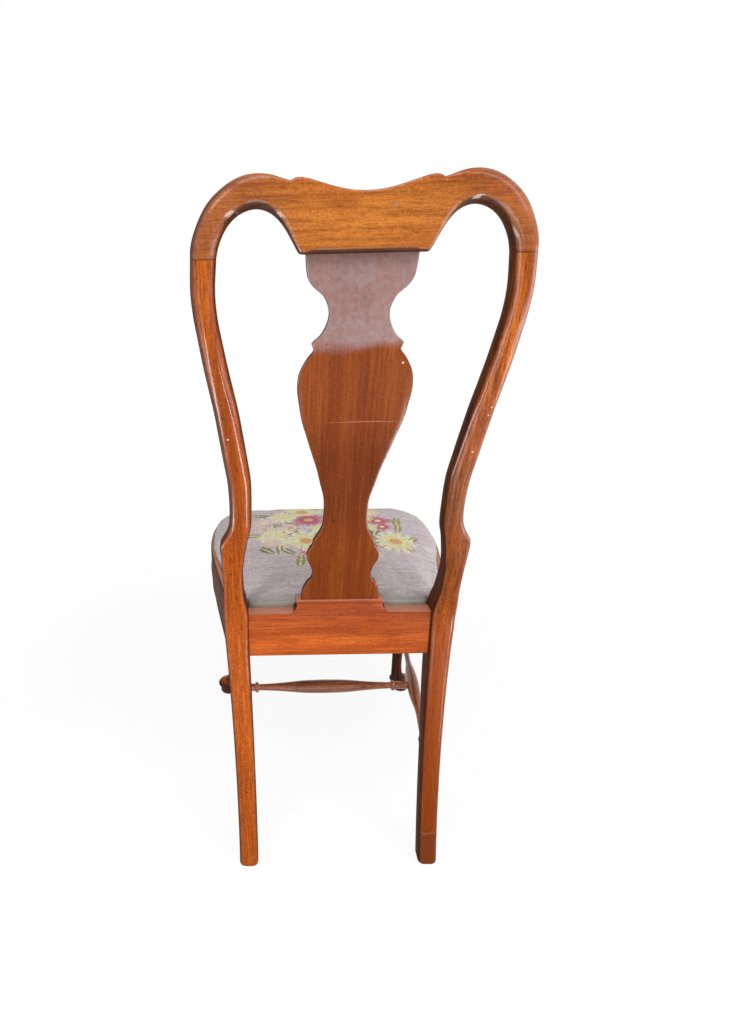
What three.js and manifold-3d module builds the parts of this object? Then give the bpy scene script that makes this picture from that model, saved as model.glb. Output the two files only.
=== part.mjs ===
// A balloon back side chair in walnut with a drop-in needlepoint seat.
//
// Two rear posts run in one piece from the floor to the crest rail. A vase
// shaped splat stands between a shoe on the rear seat rail and the crest
// rail. The seat rails follow a compass outline, the front legs are cabriole
// legs with pad feet, and three turned stretchers tie the legs together.
//
// Millimetres. X runs across, Y from the front (minus) to the back (plus),
// Z up. The floor is at zero, and the back faces of the rear posts stand at
// zero on Y where they meet the seat rails. The finished group is then
// centred over its own footprint.

import * as THREE from 'three';
import { mergeVertices } from 'three/addons/utils/BufferGeometryUtils.js';
import Module from 'manifold-3d';

const wasm = await Module();
wasm.setup();

// Fits shared by all joints
const glueLine = 0.3;
const overrun = 40;
const weldDistance = 0.0005;
const cornerSteps = 3;

// Heights above the floor
const railTop = 431;
const railHeight = 75;
const railBottom = railTop - railHeight;
const rakeDrop = 31;
const rakeStart = railTop - rakeDrop;
const crestJoint = 936;
const crestRise = 82;
const crestTop = crestJoint + crestRise;
const stretcherHeight = 163;

// Rear posts: a raked leg below and a stile above, in one piece
const postHalfSpacing = 155.5;
const postWidth = 37;
const postDepth = 42;
const footHalfSpacing = 145;
const legWidth = 30;
const legDepth = 30;
const legRound = 8;
const footEase = 3;
const footSetback = 68;
const rakePower = 1.4;
const innerSpreadPower = 1.6;
const outerSpreadPower = 1.8;
const stileDepth = 28;
const stileRound = 7;
const stileBow = 19.5;
const stileEase = 120;
const crestSetback = 115;
const legStationShares = [0.1, 0.22, 0.34, 0.46, 0.58, 0.7, 0.8, 0.9, 1];
const stileTenonWidth = 14;
const stileTenonDepth = 12;
const stileTenonLength = 20;

// Height shares run from the rail top to the crest joint. Bow shares tell how
// far the middle of the stile lies outside the middle of the post.
const bowShares = [
  [0, 0], [0.038, 0.04], [0.073, 0.08], [0.158, 0.07], [0.206, 0.02], [0.245, -0.04], [0.262, -0.09],
  [0.279, -0.25], [0.299, -0.46], [0.325, -0.61], [0.384, -0.68], [0.453, -0.65], [0.513, -0.47],
  [0.582, -0.25], [0.646, -0.04], [0.707, 0.23], [0.766, 0.5], [0.822, 0.72], [0.875, 0.92],
  [0.93, 1], [1, 0.88],
];
const stileWidthShares = [
  [0, 1], [0.038, 0.9], [0.073, 0.79], [0.158, 0.78], [0.206, 0.865], [0.245, 0.97], [0.262, 1],
  [0.279, 0.94], [0.299, 0.87], [0.325, 0.82], [0.384, 0.81], [0.453, 0.84], [0.513, 0.85],
  [0.646, 0.82], [0.766, 0.775], [0.875, 0.735], [1, 0.77],
];

// Height shares run from the start of the rake to the top of the crest, and
// setback shares tell how far the back has moved rearwards by then.
const setbackShares = [
  [0, 0], [0.04, 0.01], [0.113, 0.1], [0.214, 0.243], [0.309, 0.35], [0.404, 0.456], [0.5, 0.587],
  [0.595, 0.723], [0.691, 0.83], [0.786, 0.908], [0.874, 0.955], [1, 1],
];

// Crest rail
const archBridge = 33.7;
const archHeight = crestRise - archBridge;
const lugHalfWidth = 66;
const lugDrop = 2.5;
const crestMortiseDepth = 14;

// Top edge of the crest from the outside of the arm to the middle: shares of
// the half width and of the rise above the joint.
const humpShares = [
  [1, 0], [0.995, 0.134], [0.979, 0.274], [0.947, 0.445], [0.906, 0.61], [0.864, 0.726],
  [0.813, 0.827], [0.759, 0.909], [0.695, 0.973], [0.631, 1], [0.567, 0.995], [0.513, 0.971],
  [0.465, 0.934], [0.42, 0.905],
];
const yokeShares = [
  [0.396, 0.934], [0.366, 0.941], [0.321, 0.922], [0.262, 0.883], [0.203, 0.844], [0.15, 0.813],
  [0.075, 0.782], [0, 0.772],
];

// Under edge of the crest from the inside of the arm to the lug: shares of the
// space between them and of the arch height.
const archShares = [
  [1, 0], [0.968, 0.25], [0.898, 0.54], [0.822, 0.735], [0.725, 0.886], [0.606, 0.98], [0.508, 1],
  [0.411, 0.958], [0.335, 0.88], [0.27, 0.776], [0.195, 0.6], [0.13, 0.4], [0.065, 0.176],
];

// Splat
const splatThickness = 9;
const splatInset = 15;
const splatEdge = 1.2;
const bellyHalfWidth = 68.8;

// Height shares run from the rail top to the under edge of the crest, and
// width shares follow the widest part of the belly.
const splatShares = [
  [0, 0.84], [0.047, 0.836], [0.077, 0.816], [0.093, 0.781], [0.107, 0.735], [0.122, 0.65],
  [0.134, 0.62], [0.148, 0.621], [0.165, 0.653], [0.176, 0.685], [0.193, 0.735], [0.207, 0.744],
  [0.226, 0.714], [0.246, 0.63], [0.257, 0.625], [0.275, 0.552], [0.3, 0.463], [0.326, 0.436],
  [0.369, 0.433], [0.395, 0.452], [0.432, 0.52], [0.48, 0.605], [0.526, 0.712], [0.572, 0.813],
  [0.616, 0.908], [0.66, 0.965], [0.699, 1], [0.738, 0.968], [0.773, 0.838], [0.793, 0.73],
  [0.807, 0.77], [0.826, 0.628], [0.845, 0.548], [0.863, 0.503], [0.882, 0.5], [0.898, 0.537],
  [0.914, 0.606], [0.931, 0.754], [0.948, 0.844], [0.966, 0.873], [1, 0.895],
];

// Shoe that holds the foot of the splat
const shoeHeight = 22;
const shoeLip = 4;
const shoeLipHalfWidth = 65.5;
const shoeNeck = 2.5;
const shoeFlare = 13;
const shoeOverhang = 2;
const coveSteps = 6;

// Seat rails on a compass plan
const seatHalfWidth = 209.5;
const seatDepth = 404;
const railThickness = 30;
const rearRailSetback = 6;
const rearRim = 20;
const sideRailShoulder = 4;
const rim = 9;
const rabbetDepth = 12;
const railTenonThickness = 10;
const railTenonShoulder = 12;
const tenonRoot = 6;
const rearTenonLength = 19;
const sideTenonLength = 13;
const frontTenonLength = 17;
const planSteps = 64;

// From the rear post round to the middle of the front: shares of the half
// width and of the depth in front of the posts.
const compassShares = [
  [0.871, 0.16], [0.934, 0.34], [0.986, 0.52], [1, 0.671], [0.983, 0.796], [0.936, 0.884],
  [0.85, 0.945], [0.716, 0.9765], [0.477, 0.993], [0.24, 0.999], [0, 1],
];

// Front legs
const legPostAcross = 54;
const legPostDeep = 64;
const ankleInset = 28.2;
const ankleSetback = 26.7;
const kneeHalfWidth = 26.5;
const padRadius = 23;
const padDiscRadius = 18;
const padDiscHeight = 7;
const padReach = 13;
const kneeReach = 14;
const squareKnee = 3.4;
const legSides = 20;
const squareStartShare = 0.3;
const squareFullShare = 0.9;
const kneeStartShare = 0.5;
const padBlendShare = 0.4;

// Height shares run from the floor to the rail bottom. Reach is how far the
// leg stands outwards of its ankle, along both X and Y.
const reachShares = [
  [0, 0.62], [0.05, 0.62], [0.085, 0.5], [0.118, 0.17], [0.168, 0.03], [0.236, 0], [0.31, 0.06],
  [0.38, 0.2], [0.49, 0.47], [0.635, 0.82], [0.787, 1], [0.9, 0.95], [0.97, 0.55], [1, 0.1],
];
const kneeWidthShares = [
  [0.118, 0.47], [0.168, 0.41], [0.236, 0.4], [0.31, 0.435], [0.38, 0.49], [0.49, 0.61],
  [0.635, 0.765], [0.787, 0.89], [0.9, 1], [0.97, 1.04], [1, 1.06],
];
const padShares = [[0.24, 0.78], [0.34, 0.93], [0.5, 1], [0.66, 0.96], [0.84, 0.78], [1, 0.6]];
const padTop = 34;

// Knee brackets under the rails, beside the front legs
const bracketLength = 54;
const bracketHeight = 40;
const bracketToe = 16;
const bracketInset = 4;
const bracketThickness = 22;
const bracketSteps = 8;

// Turned stretchers
const turningSides = 12;
const bulbRadius = 11.8;
const medialBulbRadius = 12.6;
const neckRadius = 5;
const medialNeckRadius = 6.2;
const beadRadius = 9.8;
const beadWidth = 7;
const endRadius = 7;
const stretcherTenonLength = 11;
const medialTenonRadius = 5;
const medialTenonLength = 8;
const beadInset = 27;
const sideBeadInset = 40;

// From the bead to the middle: shares of that way, and of the swell from the
// neck to the bulb
const sideBulbShares = [[-0.56, 0], [-0.44, 0.15], [-0.34, 0.48], [-0.2, 0.79], [0, 1]];
const medialBulbShares = [[-0.88, 0], [-0.73, 0.14], [-0.55, 0.42], [-0.3, 0.85], [0, 1]];

// Corner blocks and their screws
const blockReach = 52;
const frontBlockWidth = 30;
const blockHeight = 40;
const blockDrop = 6;
const screwRadius = 2.2;
const screwHeadRadius = 4.2;
const screwHeadLength = 2.6;
const screwLength = 42;
const screwSink = 4;
const screwApart = 12;
const screwSides = 12;

// Drop-in seat
const seatGap = 1;
const coverThickness = 1.6;
const coverLip = 18;
const seatFrameThickness = 12;
const seatFrameSideWidth = 67.5;
const seatFrameRearWidth = 53;
const seatFrameFrontWidth = 66;
const seatTenonLength = 16;
const seatTenonThickness = 6;
const seatTenonWidth = 24;
const webWidth = 46;
const webThickness = 1.2;
const webLap = 24;
const longWebCount = 4;
const crossWebCount = 4;
const deckThickness = 0.8;
const cushionEdge = 10;
const crownRise = 25;
const crownPower = 2.4;
const shoulderPower = 0.75;
const cushionCentreShare = 0.507;
const cushionSteps = 52;
const dustThickness = 0.6;
const ringShares = [0.3, 0.52, 0.7, 0.83, 0.92, 0.975, 1];

// Finishes
const woods = {
  walnut: new THREE.MeshStandardMaterial({ color: 0x8c4a1e, roughness: 0.35, metalness: 0 }),
  secondary: new THREE.MeshStandardMaterial({ color: 0xb98a55, roughness: 0.7, metalness: 0 }),
};
const needlepoint = new THREE.MeshStandardMaterial({ color: 0x8f8488, roughness: 0.95, metalness: 0 });
const webbing = new THREE.MeshStandardMaterial({ color: 0xa98f63, roughness: 0.95, metalness: 0 });
const wadding = new THREE.MeshStandardMaterial({ color: 0xe6ddc6, roughness: 1, metalness: 0 });
const blackCambric = new THREE.MeshStandardMaterial({ color: 0x1d1c1c, roughness: 0.95, metalness: 0 });
const steel = new THREE.MeshStandardMaterial({ color: 0x8d8b86, roughness: 0.4, metalness: 1 });

// Smooth value along a row of [place, value] pairs
function smooth(rows) {
  const last = rows.length - 1;
  const slopes = rows.map((row, i) => {
    const before = rows[Math.max(i - 1, 0)];
    const after = rows[Math.min(i + 1, last)];
    return (after[1] - before[1]) / (after[0] - before[0]);
  });
  return (place) => {
    let i = 0;
    while (i < last - 1 && place > rows[i + 1][0]) {
      i += 1;
    }
    const span = rows[i + 1][0] - rows[i][0];
    const t = THREE.MathUtils.clamp((place - rows[i][0]) / span, 0, 1);
    const start = rows[i][1] * (1 + 2 * t) * (1 - t) ** 2;
    const end = rows[i + 1][1] * t ** 2 * (3 - 2 * t);
    const lean = slopes[i] * t * (1 - t) ** 2 - slopes[i + 1] * t ** 2 * (1 - t);
    return start + end + lean * span;
  };
}

// Places of a row of pairs, each step cut into equal parts
function places(rows, parts) {
  const found = [];
  for (let i = 0; i + 1 < rows.length; i += 1) {
    for (let k = 0; k < parts; k += 1) {
      found.push(THREE.MathUtils.lerp(rows[i][0], rows[i + 1][0], k / parts));
    }
  }
  found.push(rows[rows.length - 1][0]);
  return found;
}

// Geometry with shared corners merged and collapsed triangles dropped
function weld(geometry) {
  const bare = geometry.clone();
  bare.deleteAttribute('normal');
  bare.deleteAttribute('uv');
  const merged = mergeVertices(bare, weldDistance);
  const old = merged.index.array;
  const kept = [];
  for (let i = 0; i < old.length; i += 3) {
    const [a, b, c] = [old[i], old[i + 1], old[i + 2]];
    if (a !== b && b !== c && c !== a) {
      kept.push(a, b, c);
    }
  }
  merged.setIndex(kept);
  return merged;
}

function signedVolume(geometry) {
  const position = geometry.attributes.position;
  const index = geometry.index.array;
  const [a, b, c] = [new THREE.Vector3(), new THREE.Vector3(), new THREE.Vector3()];
  let volume = 0;
  for (let i = 0; i < index.length; i += 3) {
    a.fromBufferAttribute(position, index[i]);
    b.fromBufferAttribute(position, index[i + 1]);
    c.fromBufferAttribute(position, index[i + 2]);
    volume += a.dot(b.cross(c)) / 6;
  }
  return volume;
}

function turnedOver(geometry) {
  const flipped = geometry.clone();
  const old = geometry.index.array;
  const index = [];
  for (let i = 0; i < old.length; i += 3) {
    index.push(old[i], old[i + 2], old[i + 1]);
  }
  flipped.setIndex(index);
  return flipped;
}

function outward(geometry) {
  return signedVolume(geometry) < 0 ? turnedOver(geometry) : geometry;
}

function mirrored(geometry) {
  const copy = geometry.clone();
  copy.applyMatrix4(new THREE.Matrix4().makeScale(-1, 1, 1));
  return turnedOver(copy);
}

// A solid for cutting and joining
function solid(geometry) {
  const clean = outward(weld(geometry));
  return new wasm.Manifold(new wasm.Mesh({
    numProp: 3,
    vertProperties: new Float32Array(clean.attributes.position.array),
    triVerts: new Uint32Array(clean.index.array),
  }));
}

function shell(body) {
  const mesh = body.getMesh();
  const geometry = new THREE.BufferGeometry();
  geometry.setAttribute('position', new THREE.BufferAttribute(mesh.vertProperties, 3));
  geometry.setIndex(Array.from(mesh.triVerts));
  return geometry;
}

function box(x0, x1, y0, y1, z0, z1) {
  const geometry = new THREE.BoxGeometry(x1 - x0, y1 - y0, z1 - z0);
  geometry.translate((x0 + x1) / 2, (y0 + y1) / 2, (z0 + z1) / 2);
  return solid(geometry);
}

// Skin through rings of points, closed at both ends by a fan
function loft(rings) {
  const count = rings[0].length;
  const points = rings.flat();
  const faces = [];
  for (let i = 0; i + 1 < rings.length; i += 1) {
    for (let j = 0; j < count; j += 1) {
      const a = i * count + j;
      const b = i * count + (j + 1) % count;
      faces.push(a, b, b + count, a, b + count, a + count);
    }
  }
  const first = points.length;
  const last = (rings.length - 1) * count;
  points.push(middle(rings[0]), middle(rings[rings.length - 1]));
  for (let j = 0; j < count; j += 1) {
    const k = (j + 1) % count;
    faces.push(first, k, j, first + 1, last + j, last + k);
  }
  const geometry = new THREE.BufferGeometry().setFromPoints(points);
  geometry.setIndex(faces);
  return outward(geometry);
}

function middle(ring) {
  const sum = new THREE.Vector3();
  ring.forEach((point) => sum.add(point));
  return sum.divideScalar(ring.length);
}

// Level ring with flat sides and round corners
function roundedRing(x, y, z, halfX, halfY, radius) {
  const corners = [[1, 1], [-1, 1], [-1, -1], [1, -1]];
  const ring = [];
  corners.forEach(([sideX, sideY], quarter) => {
    for (let k = 0; k <= cornerSteps; k += 1) {
      const angle = (quarter + k / cornerSteps) * Math.PI / 2;
      ring.push(new THREE.Vector3(
        x + sideX * (halfX - radius) + radius * Math.cos(angle),
        y + sideY * (halfY - radius) + radius * Math.sin(angle),
        z,
      ));
    }
  });
  return ring;
}

// Level ring between a circle (power 2) and a square (high power)
function softRing(x, y, z, half, power) {
  const ring = [];
  for (let k = 0; k < legSides; k += 1) {
    const angle = k / legSides * 2 * Math.PI;
    const across = Math.cos(angle);
    const along = Math.sin(angle);
    const reach = half / (Math.abs(across) ** power + Math.abs(along) ** power) ** (1 / power);
    ring.push(new THREE.Vector3(x + reach * across, y + reach * along, z));
  }
  return ring;
}

// Outline in X and Z, drawn into depth towards the front
function upright(points, depth, bevel = 0) {
  const geometry = new THREE.ExtrudeGeometry(new THREE.Shape(points), {
    depth: depth - 2 * bevel,
    bevelEnabled: bevel > 0,
    bevelThickness: bevel,
    bevelSize: bevel,
    bevelOffset: -bevel,
    bevelSegments: cornerSteps,
    steps: 1,
  });
  geometry.rotateX(Math.PI / 2);
  geometry.translate(0, -bevel, 0);
  return geometry;
}

// Outline in X and Y, drawn up between two heights
function slab(points, bottom, top) {
  const geometry = new THREE.ExtrudeGeometry(new THREE.Shape(points), {
    depth: top - bottom,
    bevelEnabled: false,
  });
  geometry.translate(0, 0, bottom);
  return solid(geometry);
}

// Turning from one point to another: rows of [distance from start, radius]
function turning(rows, start, end, sides) {
  const profile = rows.map(([along, radius]) => new THREE.Vector2(radius, along));
  profile.unshift(new THREE.Vector2(0, rows[0][0]));
  profile.push(new THREE.Vector2(0, rows[rows.length - 1][0]));
  const geometry = new THREE.LatheGeometry(profile, sides);
  const direction = end.clone().sub(start).normalize();
  const turn = new THREE.Quaternion().setFromUnitVectors(new THREE.Vector3(0, 1, 0), direction);
  geometry.applyQuaternion(turn);
  geometry.translate(start.x, start.y, start.z);
  return solid(geometry);
}

// Rear face of the posts, splat and crest at a height
const setbackAt = smooth(setbackShares);
function backFace(z) {
  if (z < rakeStart) {
    return footSetback * ((rakeStart - z) / rakeStart) ** rakePower;
  }
  return crestSetback * setbackAt((z - rakeStart) / (crestTop - rakeStart));
}

const stileHeight = crestJoint - railTop;
const bowAt = smooth(bowShares);
const stileWidthAt = smooth(stileWidthShares);

// Inner and outer faces of the leg part
const postFace = postHalfSpacing - postWidth / 2;
function legInside(z) {
  const rise = Math.min(z / railBottom, 1) ** innerSpreadPower;
  return THREE.MathUtils.lerp(footHalfSpacing - legWidth / 2, postFace, rise);
}

function legOutside(z) {
  const rise = Math.min(z / rakeStart, 1) ** outerSpreadPower;
  return THREE.MathUtils.lerp(footHalfSpacing + legWidth / 2, postHalfSpacing + postWidth / 2, rise);
}

function postCentre(z) {
  if (z > railTop) {
    return postHalfSpacing + stileBow * bowAt((z - railTop) / stileHeight);
  }
  return (legInside(z) + legOutside(z)) / 2;
}

function postWide(z) {
  if (z > railTop) {
    return postWidth * stileWidthAt((z - railTop) / stileHeight);
  }
  return legOutside(z) - legInside(z);
}

function postDeep(z) {
  if (z > railTop) {
    const slim = THREE.MathUtils.smoothstep(z, railTop, railTop + stileEase);
    return THREE.MathUtils.lerp(postDepth, stileDepth, slim);
  }
  const swell = THREE.MathUtils.smoothstep(z, stretcherHeight, railBottom);
  return THREE.MathUtils.lerp(legDepth, postDepth, swell);
}

function postSection(z, ease = 0) {
  const radius = z > railTop ? stileRound : legRound;
  const deep = postDeep(z);
  const halfWide = postWide(z) / 2 - ease;
  return roundedRing(postCentre(z), backFace(z) - deep / 2, z, halfWide, deep / 2 - ease, radius);
}

// Where the stile stands at the crest joint
const armCentre = postCentre(crestJoint);
const armHalf = postWide(crestJoint) / 2;
const armMiddleY = backFace(crestJoint) - stileDepth / 2;

function stileTenon(clearance) {
  const halfWide = stileTenonWidth / 2 + clearance;
  const halfDeep = stileTenonDepth / 2 + clearance;
  return box(
    armCentre - halfWide, armCentre + halfWide, armMiddleY - halfDeep, armMiddleY + halfDeep,
    crestJoint - stileTenonLength, crestJoint + stileTenonLength + clearance,
  );
}

// Tenon heights that all seat rails share
const tenonLow = railBottom + railTenonShoulder;
const tenonHigh = railTop - rabbetDepth - railTenonShoulder;
const rearTenonMiddle = -(rearRailSetback + postDepth / 2 - railTenonThickness / 2);

function rearRailTenon(clearance) {
  const half = railTenonThickness / 2 + clearance;
  return box(
    postFace - tenonRoot, postFace + rearTenonLength + clearance,
    rearTenonMiddle - half, rearTenonMiddle + half, tenonLow - clearance, tenonHigh + clearance,
  );
}

function sideRailTenon(clearance) {
  const half = railTenonThickness / 2 + clearance;
  return box(
    postHalfSpacing - half, postHalfSpacing + half,
    -postDepth - tenonRoot, -postDepth + sideTenonLength + clearance,
    tenonLow - clearance, tenonHigh + clearance,
  );
}

// Plan of the seat rails, from the left rear post round the front to the
// right rear post, moved inwards by an inset
const planRear = -postDepth;
const planStart = new THREE.Vector3(postHalfSpacing + postWidth / 2 - sideRailShoulder, planRear, 0);
const planHalf = compassShares.map(([across, deep]) => new THREE.Vector3(
  across * seatHalfWidth,
  planRear - deep * (seatDepth - postDepth),
  0,
));

function planCurve() {
  const lead = planStart.clone().sub(planHalf[0]).setLength(overrun).add(planStart);
  const half = [lead, planStart, ...planHalf];
  const other = half.slice(0, -1).reverse().map((point) => new THREE.Vector3(-point.x, point.y, 0));
  return new THREE.CatmullRomCurve3([...half, ...other], false, 'centripetal');
}

const compass = planCurve();
function planLine(inset) {
  const line = [];
  for (let k = 0; k <= planSteps; k += 1) {
    const point = compass.getPointAt(k / planSteps);
    const along = compass.getTangentAt(k / planSteps);
    line.push(new THREE.Vector2(point.x + along.y * inset, point.y - along.x * inset));
  }
  return line;
}

// The part of a plan line in front of a line across the chair
function inFrontOf(line, y) {
  const kept = [];
  for (let k = 0; k < line.length; k += 1) {
    const here = line[k];
    const before = line[k - 1];
    if (before && (before.y - y) * (here.y - y) < 0) {
      kept.push(before.clone().lerp(here, (y - before.y) / (here.y - before.y)));
    }
    if (here.y <= y) {
      kept.push(here);
    }
  }
  return kept;
}

const ledge = railTop - rabbetDepth;
const legPostX = seatHalfWidth - legPostAcross;
const legPostY = -(seatDepth - legPostDeep);

// Ring of the seat rails in one piece, rabbeted for the drop-in seat
function railRing() {
  const outside = planLine(0);
  const inside = planLine(railThickness).reverse();
  const ring = slab([...outside, ...inside], railBottom, railTop);
  return ring.subtract(seatRecess());
}

function seatRecess() {
  return slab(planLine(rim), ledge, railTop + overrun);
}

const ring = railRing();

function frontTenonMiddle() {
  const line = planLine(railThickness / 2);
  const near = line.filter((point) => point.x > 0 && point.y < legPostY);
  near.sort((a, b) => Math.abs(a.x - legPostX) - Math.abs(b.x - legPostX));
  return near[0].y;
}

function sideTenonMiddle() {
  const line = planLine(railThickness / 2);
  const near = line.filter((point) => point.x > 0);
  near.sort((a, b) => Math.abs(a.y - legPostY) - Math.abs(b.y - legPostY));
  return near[0].x;
}

const frontTenonY = frontTenonMiddle();
const sideTenonX = sideTenonMiddle();

function frontRailTenon(clearance) {
  const half = railTenonThickness / 2 + clearance;
  return box(
    legPostX - tenonRoot, legPostX + frontTenonLength + clearance,
    frontTenonY - half, frontTenonY + half, tenonLow - clearance, tenonHigh + clearance,
  );
}

function sideFrontTenon(clearance) {
  const half = railTenonThickness / 2 + clearance;
  return box(
    sideTenonX - half, sideTenonX + half,
    legPostY - frontTenonLength - clearance, legPostY + tenonRoot,
    tenonLow - clearance, tenonHigh + clearance,
  );
}

// Stretcher ends
const rearSocket = new THREE.Vector3(
  postCentre(stretcherHeight),
  backFace(stretcherHeight) - postDeep(stretcherHeight) / 2,
  stretcherHeight,
);
const reachAt = smooth(reachShares);
const kneeWidthAt = smooth(kneeWidthShares);

function legReach(z) {
  return kneeReach * reachAt(z / railBottom);
}

function legHalf(z) {
  return kneeHalfWidth * kneeWidthAt(z / railBottom);
}

const ankleHalfSpacing = seatHalfWidth - ankleInset;
const ankleDepth = seatDepth - ankleSetback;
const frontSocket = new THREE.Vector3(
  ankleHalfSpacing + legReach(stretcherHeight),
  -ankleDepth - legReach(stretcherHeight),
  stretcherHeight,
);
const sideSpan = frontSocket.clone().sub(rearSocket);
const sideLength = sideSpan.length();
const sideMiddle = rearSocket.clone().add(frontSocket).divideScalar(2);
const socketFace = legDepth / 2;

// Rear post on the left, with its mortises
function rearPost() {
  const rings = [postSection(0, footEase), postSection(footEase)];
  legStationShares.forEach((share) => rings.push(postSection(share * railBottom)));
  rings.push(postSection((railBottom + railTop) / 2), postSection(railTop));
  places(bowShares, 1).slice(1).forEach((share) => rings.push(postSection(railTop + share * stileHeight)));
  return solid(loft(rings))
    .add(stileTenon(0))
    .subtract(rearRailTenon(glueLine))
    .subtract(sideRailTenon(glueLine))
    .subtract(stretcherTenon(rearSocket, frontSocket, glueLine));
}

function stretcherTenon(from, towards, clearance) {
  const rows = [
    [socketFace - stretcherTenonLength - clearance, endRadius + clearance],
    [socketFace + overrun, endRadius + clearance],
  ];
  return turning(rows, from, towards, turningSides);
}

// Crest rail, with mortises for both stiles and the splat
function crestOutline() {
  const halfWidth = armCentre + armHalf;
  const top = humpShares.concat(yokeShares)
    .map(([across, up]) => new THREE.Vector2(across * halfWidth, crestJoint + up * crestRise));
  const armInside = armCentre - armHalf;
  const arch = archShares.map(([across, up]) => new THREE.Vector2(
    THREE.MathUtils.lerp(lugHalfWidth, armInside, across),
    crestJoint + up * archHeight,
  ));
  const armEnd = crestJoint - stileTenonLength;
  const half = [
    new THREE.Vector2(lugHalfWidth, crestJoint + lugDrop),
    ...arch.reverse(),
    new THREE.Vector2(armInside, armEnd),
    new THREE.Vector2(halfWidth, armEnd),
    ...top,
  ];
  const other = half.slice(0, -1).reverse().map((point) => new THREE.Vector2(-point.x, point.y));
  return [...half, ...other];
}

function crestRail() {
  const geometry = upright(crestOutline(), stileDepth, stileRound);
  const position = geometry.attributes.position;
  for (let i = 0; i < position.count; i += 1) {
    const lean = backFace(Math.max(position.getZ(i), crestJoint));
    position.setY(i, position.getY(i) + lean);
  }
  const half = armCentre + armHalf + overrun;
  const below = box(-half, half, -overrun, crestSetback + overrun, 0, crestJoint + glueLine);
  const tenon = stileTenon(glueLine);
  return solid(geometry).subtract(below).subtract(bothSides(tenon)).subtract(splatBody(glueLine));
}

// Splat: a board that follows the curve of the back, let into the crest
// above and the shoe below
const splatTop = crestJoint + lugDrop;
const splatAt = smooth(splatShares);

function splatRing(z, half, clearance) {
  const rear = backFace(z) - splatInset + clearance;
  const front = rear - splatThickness - 2 * clearance;
  const wide = half + clearance;
  const narrow = wide - splatEdge;
  return [
    [narrow, rear], [-narrow, rear], [-wide, rear - splatEdge], [-wide, front + splatEdge],
    [-narrow, front], [narrow, front], [wide, front + splatEdge], [wide, rear - splatEdge],
  ].map(([x, y]) => new THREE.Vector3(x, y, z));
}

function splatBody(clearance) {
  const height = splatTop - railTop;
  const rings = places(splatShares, 1).map((share) => {
    const z = railTop + glueLine - clearance + share * height;
    return splatRing(z, bellyHalfWidth * splatAt(share), clearance);
  });
  const inside = splatTop + crestMortiseDepth + clearance;
  rings.push(splatRing(inside, bellyHalfWidth * splatAt(1), clearance));
  return solid(loft(rings));
}

// Shoe under the splat, with coved ends and a lip
function splatShoe() {
  const bottom = railTop + glueLine;
  const neck = shoeLipHalfWidth - shoeNeck;
  const lipBottom = railTop + shoeHeight - shoeLip;
  const cove = new THREE.EllipseCurve(
    neck + shoeFlare, lipBottom, shoeFlare, lipBottom - bottom, Math.PI, 1.5 * Math.PI,
  );
  const side = cove.getPoints(coveSteps).reverse();
  const other = side.map((point) => new THREE.Vector2(-point.x, point.y)).reverse();
  const rear = -rearRailSetback;
  const body = upright([...side, ...other], rearRim);
  body.translate(0, rear, 0);
  const lip = box(
    -shoeLipHalfWidth, shoeLipHalfWidth, rear - rearRim, rear + shoeOverhang,
    lipBottom - weldDistance, railTop + shoeHeight,
  );
  return solid(body).add(lip).subtract(splatBody(glueLine));
}

function bothSides(body) {
  return body.add(solid(mirrored(shell(body))));
}

function drilled(body, holes) {
  return holes.reduce((left, screw) => left.subtract(screwBody(screw, glueLine)), body);
}

function drilledBothSides(body, holes) {
  return holes.reduce((left, screw) => left.subtract(bothSides(screwBody(screw, glueLine))), body);
}

// Rear seat rail
function rearRail() {
  const half = postFace - glueLine;
  const rear = -rearRailSetback;
  const front = -postDepth;
  const board = box(-half, half, front, rear, railBottom, railTop);
  const rabbet = box(
    -half - overrun, half + overrun, front - overrun, rear - rearRim, ledge, railTop + overrun,
  );
  const tenon = rearRailTenon(0);
  return drilledBothSides(board.subtract(rabbet).add(bothSides(tenon)), [screws[0]]);
}

// Side rail on the left
function sideRail() {
  const wide = seatHalfWidth + overrun;
  const behind = box(0, wide, -postDepth - glueLine, overrun, 0, crestJoint);
  const ahead = box(0, wide, -seatDepth - overrun, legPostY + glueLine, 0, crestJoint);
  const other = box(-wide, 0, -seatDepth - overrun, overrun, 0, crestJoint);
  const board = ring.subtract(other).subtract(behind).subtract(ahead)
    .add(sideRailTenon(0)).add(sideFrontTenon(0));
  return drilled(board, screws.filter((screw) => screw.way.x > 0));
}

// Front seat rail, between the front legs
function frontRail() {
  const half = legPostX - glueLine;
  const keep = box(-half, half, -seatDepth - overrun, legPostY, 0, crestJoint);
  const tenon = frontRailTenon(0);
  return drilledBothSides(ring.intersect(keep).add(bothSides(tenon)), [screws[2]]);
}

// Front leg on the left: a post in the corner of the seat frame, a cabriole
// leg, and a pad foot on a low disc
function padSection(share) {
  const z = padDiscHeight + share * (padTop - padDiscHeight);
  const blend = THREE.MathUtils.smoothstep(share, padBlendShare, 1);
  const reach = THREE.MathUtils.lerp(padReach, legReach(z), blend);
  return softRing(ankleHalfSpacing + reach, -ankleDepth - reach, z, padRadius * padAt(share), 2);
}

const padAt = smooth(padShares);

function legSection(share, clearance = 0) {
  const z = share * railBottom;
  const square = THREE.MathUtils.smoothstep(share, squareStartShare, squareFullShare);
  const power = THREE.MathUtils.lerp(2, squareKnee, square);
  const reach = legReach(z);
  return softRing(ankleHalfSpacing + reach, -ankleDepth - reach, z, legHalf(z) + clearance, power);
}

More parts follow.
